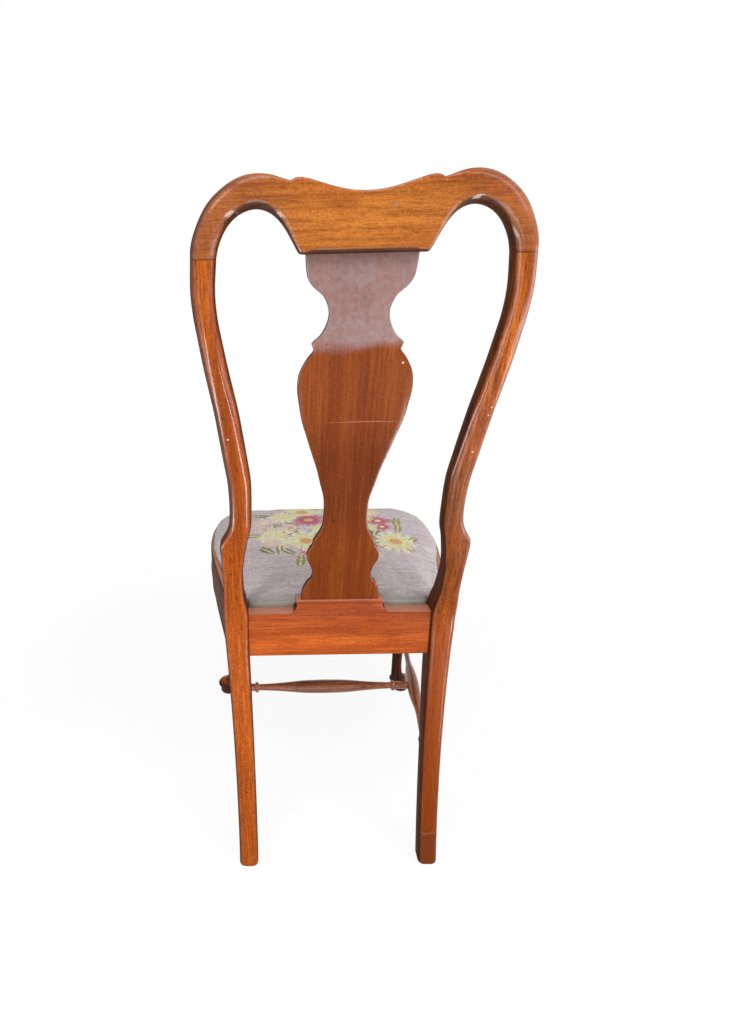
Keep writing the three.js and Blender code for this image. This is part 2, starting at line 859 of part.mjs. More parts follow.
function cabriole() {
  const footX = ankleHalfSpacing + padReach;
  const footY = -ankleDepth - padReach;
  const rings = [
    softRing(footX, footY, 0, padDiscRadius - footEase / 2, 2),
    softRing(footX, footY, footEase / 2, padDiscRadius, 2),
    softRing(footX, footY, padDiscHeight, padDiscRadius, 2),
  ];
  padShares.forEach(([share]) => rings.push(padSection(share)));
  places(kneeWidthShares, 2).forEach((share) => rings.push(legSection(share)));
  rings.push(softRing(ankleHalfSpacing, -ankleDepth, railBottom + footEase, kneeHalfWidth, squareKnee));
  return solid(loft(rings));
}

function frontLeg() {
  const wide = seatHalfWidth + overrun;
  const corner = box(legPostX, wide, -seatDepth - overrun, legPostY, railBottom, railTop);
  const post = slab(planLine(0), railBottom, railTop).intersect(corner).subtract(seatRecess());
  const frontSpace = box(
    0, legPostX, -seatDepth - overrun, 0, railBottom - glueLine, railTop + overrun,
  );
  const sideSpace = box(0, wide, legPostY, 0, railBottom - glueLine, railTop + overrun);
  return post.add(cabriole())
    .subtract(frontSpace)
    .subtract(sideSpace)
    .subtract(frontRailTenon(glueLine))
    .subtract(sideFrontTenon(glueLine))
    .subtract(stretcherTenon(frontSocket, rearSocket, glueLine));
}

// Knee bracket: drawn as an outline in its length and height, hollow below
function bracketOutline() {
  const points = [new THREE.Vector2(0, 0), new THREE.Vector2(-bracketLength, 0)];
  for (let k = 0; k <= bracketSteps; k += 1) {
    const angle = k / bracketSteps * Math.PI / 2;
    points.push(new THREE.Vector2(
      -bracketLength + (bracketLength - bracketToe) * Math.sin(angle),
      -bracketToe - (bracketHeight - bracketToe) * (1 - Math.cos(angle)),
    ));
  }
  points.push(new THREE.Vector2(0, -bracketHeight));
  return points;
}

const bracketStart = ankleHalfSpacing - bracketInset;

function bracketBlock() {
  const geometry = upright(bracketOutline(), bracketThickness);
  geometry.translate(0, 0, railBottom - glueLine);
  return geometry;
}

// The leg's own shape, a little larger, that the brackets are fitted to
function kneeSpace() {
  const shares = places(kneeWidthShares, 2).filter((share) => share > kneeStartShare);
  return solid(loft(shares.map((share) => legSection(share, glueLine))));
}

function frontBracket() {
  const block = bracketBlock();
  const face = planLine(0)
    .filter((point) => point.y < legPostY && Math.abs(point.x - legPostX + bracketLength) < overrun);
  const front = Math.max(...face.map((point) => point.y));
  block.translate(bracketStart, front + bracketInset + bracketThickness, 0);
  return solid(block).subtract(kneeSpace());
}

function sideBracket() {
  const block = bracketBlock();
  block.applyMatrix4(new THREE.Matrix4().makeRotationZ(-Math.PI / 2));
  const face = planLine(0)
    .filter((point) => point.x > 0 && Math.abs(point.y - legPostY - bracketLength) < overrun);
  const side = Math.min(...face.map((point) => Math.abs(point.x)));
  block.translate(side - bracketInset, bracketStart - ankleHalfSpacing - ankleDepth, 0);
  return solid(outward(weld(block))).subtract(kneeSpace());
}

// Profile of a turning that is the same at both ends: end, bead, neck, bulb
function balancedRows(tenonLength, tenonRadius, half, bead, neck, bulb, bulbShares) {
  const rows = [
    [-half - tenonLength, tenonRadius],
    [-half, tenonRadius],
    [-half, endRadius],
    [-bead - beadWidth / 2, endRadius],
    [-bead - beadWidth / 4, beadRadius],
    [-bead + beadWidth / 4, beadRadius],
    [-bead + beadWidth, neck],
  ];
  const swellAt = smooth(bulbShares);
  places(bulbShares, 2).forEach((along) => {
    rows.push([along * bead, THREE.MathUtils.lerp(neck, bulb, swellAt(along))]);
  });
  const other = rows.slice(0, -1).reverse().map(([along, radius]) => [-along, radius]);
  return [...rows, ...other];
}

// Side stretcher on the left, with the socket of the medial stretcher
function sideStretcher() {
  const half = sideLength / 2 - socketFace;
  const bead = half - sideBeadInset;
  const rows = balancedRows(
    stretcherTenonLength, endRadius, half, bead, neckRadius, bulbRadius, sideBulbShares,
  );
  return turning(rows, sideMiddle, frontSocket, turningSides).subtract(medialTenon(glueLine));
}

const medialCentre = new THREE.Vector3(0, sideMiddle.y, stretcherHeight);
const medialHalf = sideMiddle.x - bulbRadius - 2 * glueLine;

function medialTenon(clearance) {
  const half = medialHalf + medialTenonLength + clearance;
  const rows = [
    [-half, medialTenonRadius + clearance],
    [half, medialTenonRadius + clearance],
  ];
  return turning(rows, medialCentre, sideMiddle, turningSides);
}

// Medial stretcher between the bulbs of the side stretchers
function medialStretcher() {
  const bead = medialHalf - beadInset;
  const rows = balancedRows(
    medialTenonLength, medialTenonRadius, medialHalf, bead,
    medialNeckRadius, medialBulbRadius, medialBulbShares,
  );
  return turning(rows, medialCentre, sideMiddle, turningSides);
}

// Corner blocks inside the seat rails, screwed to them
function insideCorner() {
  const rear = -postDepth - glueLine;
  return inFrontOf(planLine(railThickness + glueLine), rear);
}

const blockTop = ledge - blockDrop;
const blockBottom = blockTop - blockHeight;
const rearBlockX = planStart.x - railThickness;

function rearBlock() {
  const y = -postDepth;
  const triangle = slab([
    new THREE.Vector2(rearBlockX + blockReach, y),
    new THREE.Vector2(rearBlockX - blockReach, y),
    new THREE.Vector2(rearBlockX + blockReach, y - 2 * blockReach),
  ], blockBottom, blockTop);
  const block = triangle.intersect(slab(insideCorner(), blockBottom, blockTop));
  return drilled(block, screwsAt('rear'));
}

function frontBlock() {
  const x = legPostX;
  const y = legPostY;
  const triangle = slab([
    new THREE.Vector2(x + blockReach, y - blockReach),
    new THREE.Vector2(x + blockReach, y + blockReach + frontBlockWidth),
    new THREE.Vector2(x - blockReach - frontBlockWidth, y - blockReach),
  ], blockBottom, blockTop);
  const post = box(
    x - glueLine, x + blockReach + overrun, y - blockReach - overrun, y + glueLine, 0, crestJoint,
  );
  const block = triangle.intersect(slab(insideCorner(), blockBottom, blockTop)).subtract(post);
  return drilled(block, screwsAt('front'));
}

// Screws through the corner blocks: where the head starts, and which way
const screwLevel = (blockBottom + blockTop) / 2;
const screws = [
  {
    name: 'rear_rail', block: 'rear', way: new THREE.Vector3(0, 1, 0),
    start: new THREE.Vector3(
      rearBlockX - blockReach / 2, -postDepth - blockReach / 2 + screwSink, screwLevel,
    ),
  },
  {
    name: 'side_rail_rear', block: 'rear', way: new THREE.Vector3(1, 0, 0),
    start: new THREE.Vector3(
      rearBlockX - blockReach / 2 + screwSink, -postDepth - blockReach / 2, screwLevel,
    ),
  },
  {
    name: 'front_rail', block: 'front', way: new THREE.Vector3(0, -1, 0),
    start: new THREE.Vector3(legPostX - frontBlockWidth, legPostY - screwSink, screwLevel),
  },
  {
    name: 'side_rail_front', block: 'front', way: new THREE.Vector3(1, 0, 0),
    start: new THREE.Vector3(legPostX + screwSink, legPostY + frontBlockWidth, screwLevel),
  },
];
screws.filter((screw) => screw.way.x > 0).forEach((screw) => screw.start.setZ(screwLevel - screwApart));

function screwsAt(block) {
  return screws.filter((screw) => screw.block === block);
}

function screwBody(screw, clearance) {
  const rows = [
    [0, screwHeadRadius + clearance],
    [screwHeadLength + clearance, screwRadius + clearance],
    [screwLength + clearance, screwRadius + clearance],
  ];
  if (clearance > 0) {
    rows.unshift([-overrun, screwHeadRadius + clearance]);
  }
  return turning(rows, screw.start, screw.start.clone().add(screw.way), screwSides);
}

// Drop-in seat. Its outline clears the rim of the rails and the rear posts.
const seatRear = -(rearRailSetback + rearRim + seatGap);
const seatNotch = -(postDepth + seatGap);
const seatNotchX = postFace - seatGap;

function seatOutline(inset, count) {
  const line = inFrontOf(planLine(rim + seatGap + inset), seatNotch - inset);
  const curve = new THREE.CatmullRomCurve3(line.map((point) => new THREE.Vector3(point.x, point.y, 0)));
  const points = curve.getSpacedPoints(count).map((point) => new THREE.Vector2(point.x, point.y));
  const notchX = seatNotchX - inset;
  const rear = seatRear - inset;
  const notchY = seatNotch - inset;
  return [
    ...points,
    new THREE.Vector2(-notchX, notchY),
    new THREE.Vector2(-notchX, rear),
    new THREE.Vector2(-notchX / 3, rear),
    new THREE.Vector2(notchX / 3, rear),
    new THREE.Vector2(notchX, rear),
    new THREE.Vector2(notchX, notchY),
  ];
}

// The layers of the seat from the ledge up
const coverBottom = ledge + glueLine;
const frameBottom = coverBottom + coverThickness + glueLine;
const frameTop = frameBottom + seatFrameThickness;
const longWebBottom = frameTop + glueLine;
const crossWebBottom = longWebBottom + webThickness + glueLine;
const deckBottom = crossWebBottom + webThickness + glueLine;
const padBottom = deckBottom + deckThickness + glueLine;
const frameInset = coverThickness + glueLine;
const seatFrameOpeningHalf = seatHalfWidth - rim - seatGap - seatFrameSideWidth;
const seatFrameRear = -seatRear + seatFrameRearWidth;
const seatFrameFront = seatDepth - rim - seatGap - seatFrameFrontWidth;

function seatFrameRing() {
  const open = box(
    -seatFrameOpeningHalf, seatFrameOpeningHalf, -seatFrameFront, -seatFrameRear, 0, crestJoint,
  );
  return slab(seatOutline(frameInset, cushionSteps), frameBottom, frameTop).subtract(open);
}

const seatFrame = seatFrameRing();
const frameMiddle = (frameBottom + frameTop) / 2;
const frameTenonX = seatFrameOpeningHalf + seatTenonWidth / 2 + tenonRoot;

function seatFrameTenon(y, way, clearance) {
  const reach = y + way * (seatTenonLength + clearance);
  const root = y - way * tenonRoot;
  const halfWide = seatTenonWidth / 2 + clearance;
  const halfThick = seatTenonThickness / 2 + clearance;
  return box(
    frameTenonX - halfWide, frameTenonX + halfWide, Math.min(reach, root), Math.max(reach, root),
    frameMiddle - halfThick, frameMiddle + halfThick,
  );
}

function seatFrameCross(y0, y1, joint, way) {
  const wide = seatHalfWidth + overrun;
  return seatFrame.intersect(box(-wide, wide, y0, y1, 0, crestJoint))
    .subtract(bothSides(seatFrameTenon(joint, way, glueLine)));
}

function seatFrameRearRail() {
  return seatFrameCross(-seatFrameRear + glueLine, overrun, -seatFrameRear, 1);
}

function seatFrameFrontRail() {
  const front = -seatDepth - overrun;
  return seatFrameCross(front, -seatFrameFront - glueLine, -seatFrameFront, -1);
}

function seatFrameSide() {
  const wide = seatHalfWidth + overrun;
  return seatFrame
    .intersect(box(seatFrameOpeningHalf, wide, -seatFrameFront, -seatFrameRear, 0, crestJoint))
    .add(seatFrameTenon(-seatFrameRear, 1, 0))
    .add(seatFrameTenon(-seatFrameFront, -1, 0));
}

// Webbing over the frame: places spread evenly across the opening
function webPlaces(low, high, count) {
  const pitch = (high - low) / count;
  return Array.from({ length: count }, (_, i) => low + (i + 0.5) * pitch);
}

function longWeb(x) {
  return box(
    x - webWidth / 2, x + webWidth / 2, -seatFrameFront - webLap, -seatFrameRear + webLap,
    longWebBottom, longWebBottom + webThickness,
  );
}

function crossWeb(y) {
  const half = seatFrameOpeningHalf + webLap;
  return box(
    -half, half, y - webWidth / 2, y + webWidth / 2,
    crossWebBottom, crossWebBottom + webThickness,
  );
}

function deckCloth() {
  const outline = seatOutline(frameInset + coverThickness, cushionSteps);
  return slab(outline, deckBottom, deckBottom + deckThickness);
}

// Crowned top: the outline drawn in towards the middle of the seat
function drawnIn(outline, share, height) {
  return outline.map((point) => new THREE.Vector3(
    point.x * share,
    THREE.MathUtils.lerp(-cushionCentreShare * seatDepth, point.y, share),
    height,
  ));
}

function crownRings(inset, drop) {
  const outline = seatOutline(inset, cushionSteps);
  return ringShares.map((share) => {
    const swell = (1 - share ** crownPower) ** shoulderPower;
    return drawnIn(outline, share, railTop + cushionEdge + crownRise * swell - drop);
  });
}

function padding() {
  const inset = coverThickness + glueLine;
  const drop = coverThickness + glueLine;
  const floor = seatOutline(inset, cushionSteps)
    .map((point) => new THREE.Vector3(point.x, point.y, padBottom));
  return loft([floor, ...crownRings(inset, drop).reverse()]);
}

// Needlepoint cover: over the padding, down the sides of the frame and in
// under its edge
function cover() {
  const level = (inset, z) => seatOutline(inset, cushionSteps)
    .map((point) => new THREE.Vector3(point.x, point.y, z));
  const inside = coverBottom + coverThickness;
  return loft([
    ...crownRings(0, 0),
    level(0, coverBottom),
    level(coverLip, coverBottom),
    level(coverLip, inside),
    level(coverThickness, inside),
    ...crownRings(coverThickness, coverThickness).reverse(),
  ]);
}

function dustCover() {
  const outline = seatOutline(coverLip + seatGap, cushionSteps);
  return slab(outline, frameBottom - glueLine - dustThickness, frameBottom - glueLine);
}

// The chair and its named pieces
const chair = new THREE.Group();

function place(name, geometry, material) {
  const mesh = new THREE.Mesh(geometry, material);
  mesh.name = name;
  chair.add(mesh);
}

function placePair(name, body, material) {
  const geometry = shell(body);
  place(`left_${name}`, geometry, material);
  place(`right_${name}`, mirrored(geometry), material);
}

placePair('rear_post', rearPost(), woods.walnut);
place('crest_rail', shell(crestRail()), woods.walnut);
place('splat', shell(splatBody(0)), woods.walnut);
place('splat_shoe', shell(splatShoe()), woods.walnut);
place('rear_seat_rail', shell(rearRail()), woods.walnut);
place('front_seat_rail', shell(frontRail()), woods.walnut);
placePair('side_seat_rail', sideRail(), woods.walnut);
placePair('front_leg', frontLeg(), woods.walnut);
placePair('front_knee_bracket', frontBracket(), woods.walnut);
placePair('side_knee_bracket', sideBracket(), woods.walnut);
placePair('side_stretcher', sideStretcher(), woods.walnut);
place('medial_stretcher', shell(medialStretcher()), woods.walnut);
placePair('rear_corner_block', rearBlock(), woods.secondary);
placePair('front_corner_block', frontBlock(), woods.secondary);
screws.forEach((screw) => placePair(`${screw.name}_screw`, screwBody(screw, 0), steel));

place('seat_frame_rear', shell(seatFrameRearRail()), woods.secondary);
place('seat_frame_front', shell(seatFrameFrontRail()), woods.secondary);
placePair('seat_frame_side', seatFrameSide(), woods.secondary);
webPlaces(-seatFrameOpeningHalf, seatFrameOpeningHalf, longWebCount)
  .forEach((x, i) => place(`seat_web_long_${i + 1}`, shell(longWeb(x)), webbing));
webPlaces(-seatFrameFront, -seatFrameRear, crossWebCount)
  .forEach((y, i) => place(`seat_web_cross_${i + 1}`, shell(crossWeb(y)), webbing));
place('seat_deck_cloth', shell(deckCloth()), webbing);
place('seat_padding', weld(padding()), wadding);
place('seat_cover', weld(cover()), needlepoint);
place('seat_dust_cover', shell(dustCover()), blackCambric);

// The chair stands on the floor, centred over its footprint
const bounds = new THREE.Box3().setFromObject(chair);
chair.position.set(
  -(bounds.min.x + bounds.max.x) / 2,
  -(bounds.min.y + bounds.max.y) / 2,
  -bounds.min.z,
);

export default chair;
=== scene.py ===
# A balloon back side chair in walnut, with a drop-in needlepoint seat.
#
# Lengths are millimetres in the chair's own frame until a mesh is made: X
# runs across, Y from the front (minus) to the back, Z up. The floor is at
# zero, and the back faces of the rear posts stand at zero on Y where they
# meet the seat rails.

import math

import bmesh
import bpy
from mathutils import Matrix, Vector
from mathutils.geometry import delaunay_2d_cdt


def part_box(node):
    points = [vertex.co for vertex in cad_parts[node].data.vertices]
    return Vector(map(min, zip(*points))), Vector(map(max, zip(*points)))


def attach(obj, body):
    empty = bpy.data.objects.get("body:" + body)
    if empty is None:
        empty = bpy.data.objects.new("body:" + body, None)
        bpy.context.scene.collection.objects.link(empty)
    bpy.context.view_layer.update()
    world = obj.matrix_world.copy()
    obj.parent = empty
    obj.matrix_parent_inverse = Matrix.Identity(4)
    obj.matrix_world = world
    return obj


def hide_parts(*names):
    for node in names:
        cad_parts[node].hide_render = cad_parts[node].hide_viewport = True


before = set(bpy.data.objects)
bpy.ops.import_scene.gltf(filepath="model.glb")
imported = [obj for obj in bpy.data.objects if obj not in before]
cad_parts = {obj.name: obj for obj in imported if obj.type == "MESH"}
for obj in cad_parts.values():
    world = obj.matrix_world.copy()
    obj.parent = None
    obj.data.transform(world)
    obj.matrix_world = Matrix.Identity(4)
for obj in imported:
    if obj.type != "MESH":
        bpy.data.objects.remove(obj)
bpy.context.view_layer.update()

MM = 0.001
scene = bpy.context.scene

# Fits and steps
glue_line = 0.3
overrun = 40.0
fine_step = 4.0
soft_angle = math.radians(32)

# Heights
rail_top = 431.0
rail_height = 75.0
rail_bottom = rail_top - rail_height
rake_start = rail_top - 31.0
crest_joint = 936.0
crest_rise = 82.0
crest_top = crest_joint + crest_rise
stretcher_height = 163.0

# Rear posts
post_half_spacing = 155.5
post_width = 37.0
post_depth = 42.0
post_face = post_half_spacing - post_width / 2
foot_half_spacing = 145.0
leg_width = 30.0
leg_depth = 30.0
foot_setback = 68.0
rake_power = 1.4
inner_spread_power = 1.6
outer_spread_power = 1.8
stile_depth = 28.0
stile_bow = 19.5
stile_ease = 120.0
crest_setback = 115.0
leg_round = 8.0
foot_round = 5.0

bow_shares = [
    (0, 0), (0.038, 0.04), (0.073, 0.08), (0.158, 0.07), (0.206, 0.02), (0.245, -0.04),
    (0.262, -0.09), (0.279, -0.25), (0.299, -0.46), (0.325, -0.61), (0.384, -0.68),
    (0.453, -0.65), (0.513, -0.47), (0.582, -0.25), (0.646, -0.04), (0.707, 0.23),
    (0.766, 0.5), (0.822, 0.72), (0.875, 0.92), (0.93, 1), (1, 0.88),
]
stile_width_shares = [
    (0, 1), (0.038, 0.9), (0.073, 0.79), (0.158, 0.78), (0.206, 0.865), (0.245, 0.97),
    (0.262, 1), (0.279, 0.94), (0.299, 0.87), (0.325, 0.82), (0.384, 0.81), (0.453, 0.84),
    (0.513, 0.85), (0.646, 0.82), (0.766, 0.775), (0.875, 0.735), (1, 0.77),
]
setback_shares = [
    (0, 0), (0.04, 0.01), (0.113, 0.1), (0.214, 0.243), (0.309, 0.35), (0.404, 0.456),
    (0.5, 0.587), (0.595, 0.723), (0.691, 0.83), (0.786, 0.908), (0.874, 0.955), (1, 1),
]

# Crest rail
arch_height = crest_rise - 33.7
lug_half_width = 66.0
lug_drop = 2.5
hump_shares = [
    (1, 0), (0.995, 0.134), (0.979, 0.274), (0.947, 0.445), (0.906, 0.61), (0.864, 0.726),
    (0.813, 0.827), (0.759, 0.909), (0.695, 0.973), (0.631, 1), (0.567, 0.995),
    (0.513, 0.971), (0.465, 0.934), (0.42, 0.905),
]
yoke_shares = [
    (0.396, 0.934), (0.366, 0.941), (0.321, 0.922), (0.262, 0.883), (0.203, 0.844),
    (0.15, 0.813), (0.075, 0.782), (0, 0.772),
]
arch_shares = [
    (1, 0), (0.968, 0.25), (0.898, 0.54), (0.822, 0.735), (0.725, 0.886), (0.606, 0.98),
    (0.508, 1), (0.411, 0.958), (0.335, 0.88), (0.27, 0.776), (0.195, 0.6), (0.13, 0.4),
    (0.065, 0.176), (0, 0),
]

# Splat and shoe
splat_thickness = 9.0
splat_inset = 15.0
splat_edge = 1.4
belly_half_width = 68.8
splat_shares = [
    (0, 0.84), (0.047, 0.836), (0.077, 0.816), (0.093, 0.781), (0.107, 0.735), (0.122, 0.65),
    (0.134, 0.62), (0.148, 0.621), (0.165, 0.653), (0.176, 0.685), (0.193, 0.735),
    (0.207, 0.744), (0.226, 0.714), (0.246, 0.63), (0.257, 0.625), (0.275, 0.552),
    (0.3, 0.463), (0.326, 0.436), (0.369, 0.433), (0.395, 0.452), (0.432, 0.52),
    (0.48, 0.605), (0.526, 0.712), (0.572, 0.813), (0.616, 0.908), (0.66, 0.965),
    (0.699, 1), (0.738, 0.968), (0.773, 0.838), (0.793, 0.73), (0.807, 0.77),
    (0.826, 0.628), (0.845, 0.548), (0.863, 0.503), (0.882, 0.5), (0.898, 0.537),
    (0.914, 0.606), (0.931, 0.754), (0.948, 0.844), (0.966, 0.873), (1, 0.895),
]
shoe_height = 22.0
shoe_lip = 4.0
shoe_lip_half_width = 65.5
shoe_neck = 2.5
shoe_flare = 13.0
shoe_overhang = 2.0

# Seat rails
seat_half_width = 209.5
seat_depth = 404.0
rail_thickness = 30.0
rear_rail_setback = 6.0
rear_rim = 20.0
side_rail_shoulder = 4.0
rim = 9.0
rim_round = 7.5
rabbet_depth = 12.0
ledge = rail_top - rabbet_depth
compass_shares = [
    (0.871, 0.16), (0.934, 0.34), (0.986, 0.52), (1, 0.671), (0.983, 0.796), (0.936, 0.884),
    (0.85, 0.945), (0.716, 0.9765), (0.477, 0.993), (0.24, 0.999), (0, 1),
]

# Front legs and knee brackets
leg_post_x = seat_half_width - 54.0
leg_post_y = -(seat_depth - 64.0)
ankle_half_spacing = seat_half_width - 28.2
ankle_depth = seat_depth - 26.7
knee_half_width = 26.5
pad_radius = 23.0
pad_disc_radius = 18.0
pad_disc_height = 7.0
pad_reach = 13.0
knee_reach = 14.0
square_knee = 3.4
pad_top = 34.0
reach_shares = [
    (0, 0.62), (0.05, 0.62), (0.085, 0.5), (0.118, 0.17), (0.168, 0.03), (0.236, 0),
    (0.31, 0.06), (0.38, 0.2), (0.49, 0.47), (0.635, 0.82), (0.787, 1), (0.9, 0.95),
    (0.97, 0.55), (1, 0.1),
]
knee_width_shares = [
    (0.118, 0.47), (0.168, 0.41), (0.236, 0.4), (0.31, 0.435), (0.38, 0.49), (0.49, 0.61),
    (0.635, 0.765), (0.787, 0.89), (0.9, 1), (0.97, 1.04), (1, 1.06),
]
pad_shares = [(0.24, 0.78), (0.34, 0.93), (0.5, 1), (0.66, 0.96), (0.84, 0.78), (1, 0.6)]
bracket_length = 54.0
bracket_height = 40.0
bracket_toe = 16.0
bracket_inset = 4.0
bracket_thickness = 22.0

# Turned stretchers
bulb_radius = 11.8
medial_bulb_radius = 12.6
neck_radius = 5.0
medial_neck_radius = 6.2
bead_radius = 9.8
bead_width = 7.0
end_radius = 7.0
bead_inset = 27.0
side_bead_inset = 40.0
socket_face = leg_depth / 2
side_bulb_shares = [(-0.56, 0), (-0.44, 0.15), (-0.34, 0.48), (-0.2, 0.79), (0, 1)]
medial_bulb_shares = [(-0.88, 0), (-0.73, 0.14), (-0.55, 0.42), (-0.3, 0.85), (0, 1)]

# Drop-in seat
seat_gap = 1.0
cushion_edge = 8.0
crown_rise = 22.0
crown_power = 2.4
shoulder_power = 0.75
cushion_centre_share = 0.507
cover_thickness = 1.6
cover_lip = 18.0
pad_bottom = ledge + 18.6

back_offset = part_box("rear_seat_rail")[1][1] / MM + rear_rail_setback


# Plain mathematics

def lerp(a, b, share):
    return a + (b - a) * share


def even_shares(low, high, count):
    return [lerp(low, high, k / count) for k in range(count + 1)]


def clamp(value, low, high):
    return max(low, min(high, value))


def smoothstep(value, low, high):
    t = clamp((value - low) / (high - low), 0, 1)
    return t * t * (3 - 2 * t)


def smooth(rows):
    """A smooth value along a row of (place, value) pairs"""
    last = len(rows) - 1
    slopes = []
    for i in range(last + 1):
        before = rows[max(i - 1, 0)]
        after = rows[min(i + 1, last)]
        slopes.append((after[1] - before[1]) / (after[0] - before[0]))

    def at(place):
        i = 0
        while i < last - 1 and place > rows[i + 1][0]:
            i += 1
        span = rows[i + 1][0] - rows[i][0]
        t = clamp((place - rows[i][0]) / span, 0, 1)
        start = rows[i][1] * (1 + 2 * t) * (1 - t) ** 2
        end = rows[i + 1][1] * t ** 2 * (3 - 2 * t)
        lean = slopes[i] * t * (1 - t) ** 2 - slopes[i + 1] * t ** 2 * (1 - t)
        return start + end + lean * span

    return at


def curve_through(points, parts):
    """Centripetal Catmull-Rom curve through points, each span cut in parts"""
    ends = [points[0] * 2 - points[1], *points, points[-1] * 2 - points[-2]]
    line = []
    for p0, p1, p2, p3 in zip(ends, ends[1:], ends[2:], ends[3:]):
        d0, d1, d2 = ((b - a).length ** 0.5 for a, b in ((p0, p1), (p1, p2), (p2, p3)))
        lead = ((p1 - p0) / d0 - (p2 - p0) / (d0 + d1) + (p2 - p1) / d1) * d1
        trail = ((p2 - p1) / d1 - (p3 - p1) / (d1 + d2) + (p3 - p2) / d2) * d1
        for k in range(parts):
            t = k / parts
            line.append(
                p1 + lead * t + (p2 * 3 - p1 * 3 - lead * 2 - trail) * t ** 2
                + (p1 * 2 - p2 * 2 + lead + trail) * t ** 3
            )
    line.append(points[-1].copy())
    return line


def respaced(line, step):
    """The same line with points at an even distance near a step"""
    lengths = [0.0]
    for a, b in zip(line, line[1:]):
        lengths.append(lengths[-1] + (b - a).length)
    count = max(1, round(lengths[-1] / step))
    found = []
    i = 0
    for k in range(count + 1):
        want = lengths[-1] * k / count
        while i < len(line) - 2 and lengths[i + 1] < want:
            i += 1
        span = lengths[i + 1] - lengths[i]
        found.append(line[i].lerp(line[i + 1], (want - lengths[i]) / span if span else 0))
    return found


# Meshes and pieces

weld_distance = 0.00001
cut_width = 0.000001
curve_parts = 8


def quarter_turn(steps):
    return [k / steps * math.pi / 2 for k in range(steps + 1)]


def to_frame(point):
    return Vector((point[0] * MM, (point[1] + back_offset) * MM, point[2] * MM))


def linked(name, data):
    """A new object in the scene"""
    obj = bpy.data.objects.new(name, data)
    scene.collection.objects.link(obj)
    return obj


def edit_mesh(mesh, change):
    """Lay a mesh open, change it with a function and close it again"""
    body = bmesh.new()
    body.from_mesh(mesh)
    change(body)
    body.to_mesh(mesh)
    body.free()


def welded(body):
    bmesh.ops.remove_doubles(body, verts=body.verts, dist=weld_distance)
    bmesh.ops.recalc_face_normals(body, faces=body.faces)


def make_object(name, points, faces):
    """A new object from points in millimetres, with its faces turned outwards"""
    mesh = bpy.data.meshes.new(name)
    mesh.from_pydata([to_frame(point) for point in points], [], faces)
    mesh.validate()
    edit_mesh(mesh, welded)
    return linked(name, mesh)


def copy_of(obj, name):
    mesh = obj.data.copy()
    mesh.name = name
    return linked(name, mesh)


def set_material(obj, finish):
    obj.data.materials.clear()
    obj.data.materials.append(finishes[finish])


def finish_piece(obj, body, finish, node):
    """Give a piece its shading, its finish and its body, and hide the CAD part it stands for"""
    obj.data.shade_smooth()
    obj.data.set_sharp_from_angle(angle=soft_angle)
    set_material(obj, finish)
    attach(obj, body)
    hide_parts(node)


def skin(rings):
    """Points and faces of a skin through rings"""
    count = len(rings[0])
    points = [point for ring in rings for point in ring]
    faces = []
    for start in range(0, len(points) - count, count):
        for j in range(count):
            a = start + j
            b = start + (j + 1) % count
            faces.append((a, b, b + count, a + count))
    return points, faces


def loft(name, rings):
    """A closed piece: a skin through rings, with a lid at both ends"""
    points, faces = skin(rings)
    count = len(rings[0])
    faces.append(tuple(reversed(range(count))))
    faces.append(tuple(range(len(points) - count, len(points))))
    return make_object(name, points, faces)


def level_ring(line, z):
    return [Vector((point.x, point.y, z)) for point in line]


def rounded_ring(x, y, z, half_x, half_y, radii, steps=7):
    """Level ring with round corners: outer rear, inner rear, inner front, outer front"""
    ring = []
    for quarter, ((side_x, side_y), radius) in enumerate(
        zip(((1, 1), (-1, 1), (-1, -1), (1, -1)), radii)
    ):
        for k in range(steps + 1):
            angle = (quarter + k / steps) * math.pi / 2
            ring.append(Vector((
                x + side_x * (half_x - radius) + radius * math.cos(angle),
                y + side_y * (half_y - radius) + radius * math.sin(angle),
                z,
            )))
    return ring


def soft_ring(x, y, z, half, power, sides=56):
    """Level ring between a circle (power 2) and a square (high power)"""
    ring = []
    for k in range(sides):
        angle = k / sides * 2 * math.pi
        across = math.cos(angle)
        along = math.sin(angle)
        reach = half / (abs(across) ** power + abs(along) ** power) ** (1 / power)
        ring.append(Vector((x + reach * across, y + reach * along, z)))
    return ring


def cut(obj, point, away):
    """Cut an object at a plane, drop what lies on its far side and close the cut"""
    def halved(body):
        bmesh.ops.bisect_plane(
            body, geom=body.verts[:] + body.edges[:] + body.faces[:], plane_co=to_frame(point),
            plane_no=Vector(away), clear_outer=True, dist=cut_width,
        )
        edges = [edge for edge in body.edges if edge.is_boundary]
        bmesh.ops.edgeloop_fill(body, edges=edges)
        bmesh.ops.recalc_face_normals(body, faces=body.faces)

    edit_mesh(obj.data, halved)


def modify(obj, kind, **settings):
    """Run one modifier on an object's mesh"""
    modifier = obj.modifiers.new(kind.lower(), kind)
    for key, value in settings.items():
        setattr(modifier, key, value)
    graph = bpy.context.evaluated_depsgraph_get()
    mesh = bpy.data.meshes.new_from_object(obj.evaluated_get(graph))
    obj.modifiers.clear()
    obj.data = mesh


def combine(obj, other, operation):
    """Join or cut one object with another, which is used up"""
    modify(obj, "BOOLEAN", operation=operation, solver="EXACT", object=other)
    bpy.data.objects.remove(other)


# Board with rounded edges, drawn as an outline in X and Z

sharpest_miter = 0.6
net_clearance = 0.6
net_tolerance = 0.0001


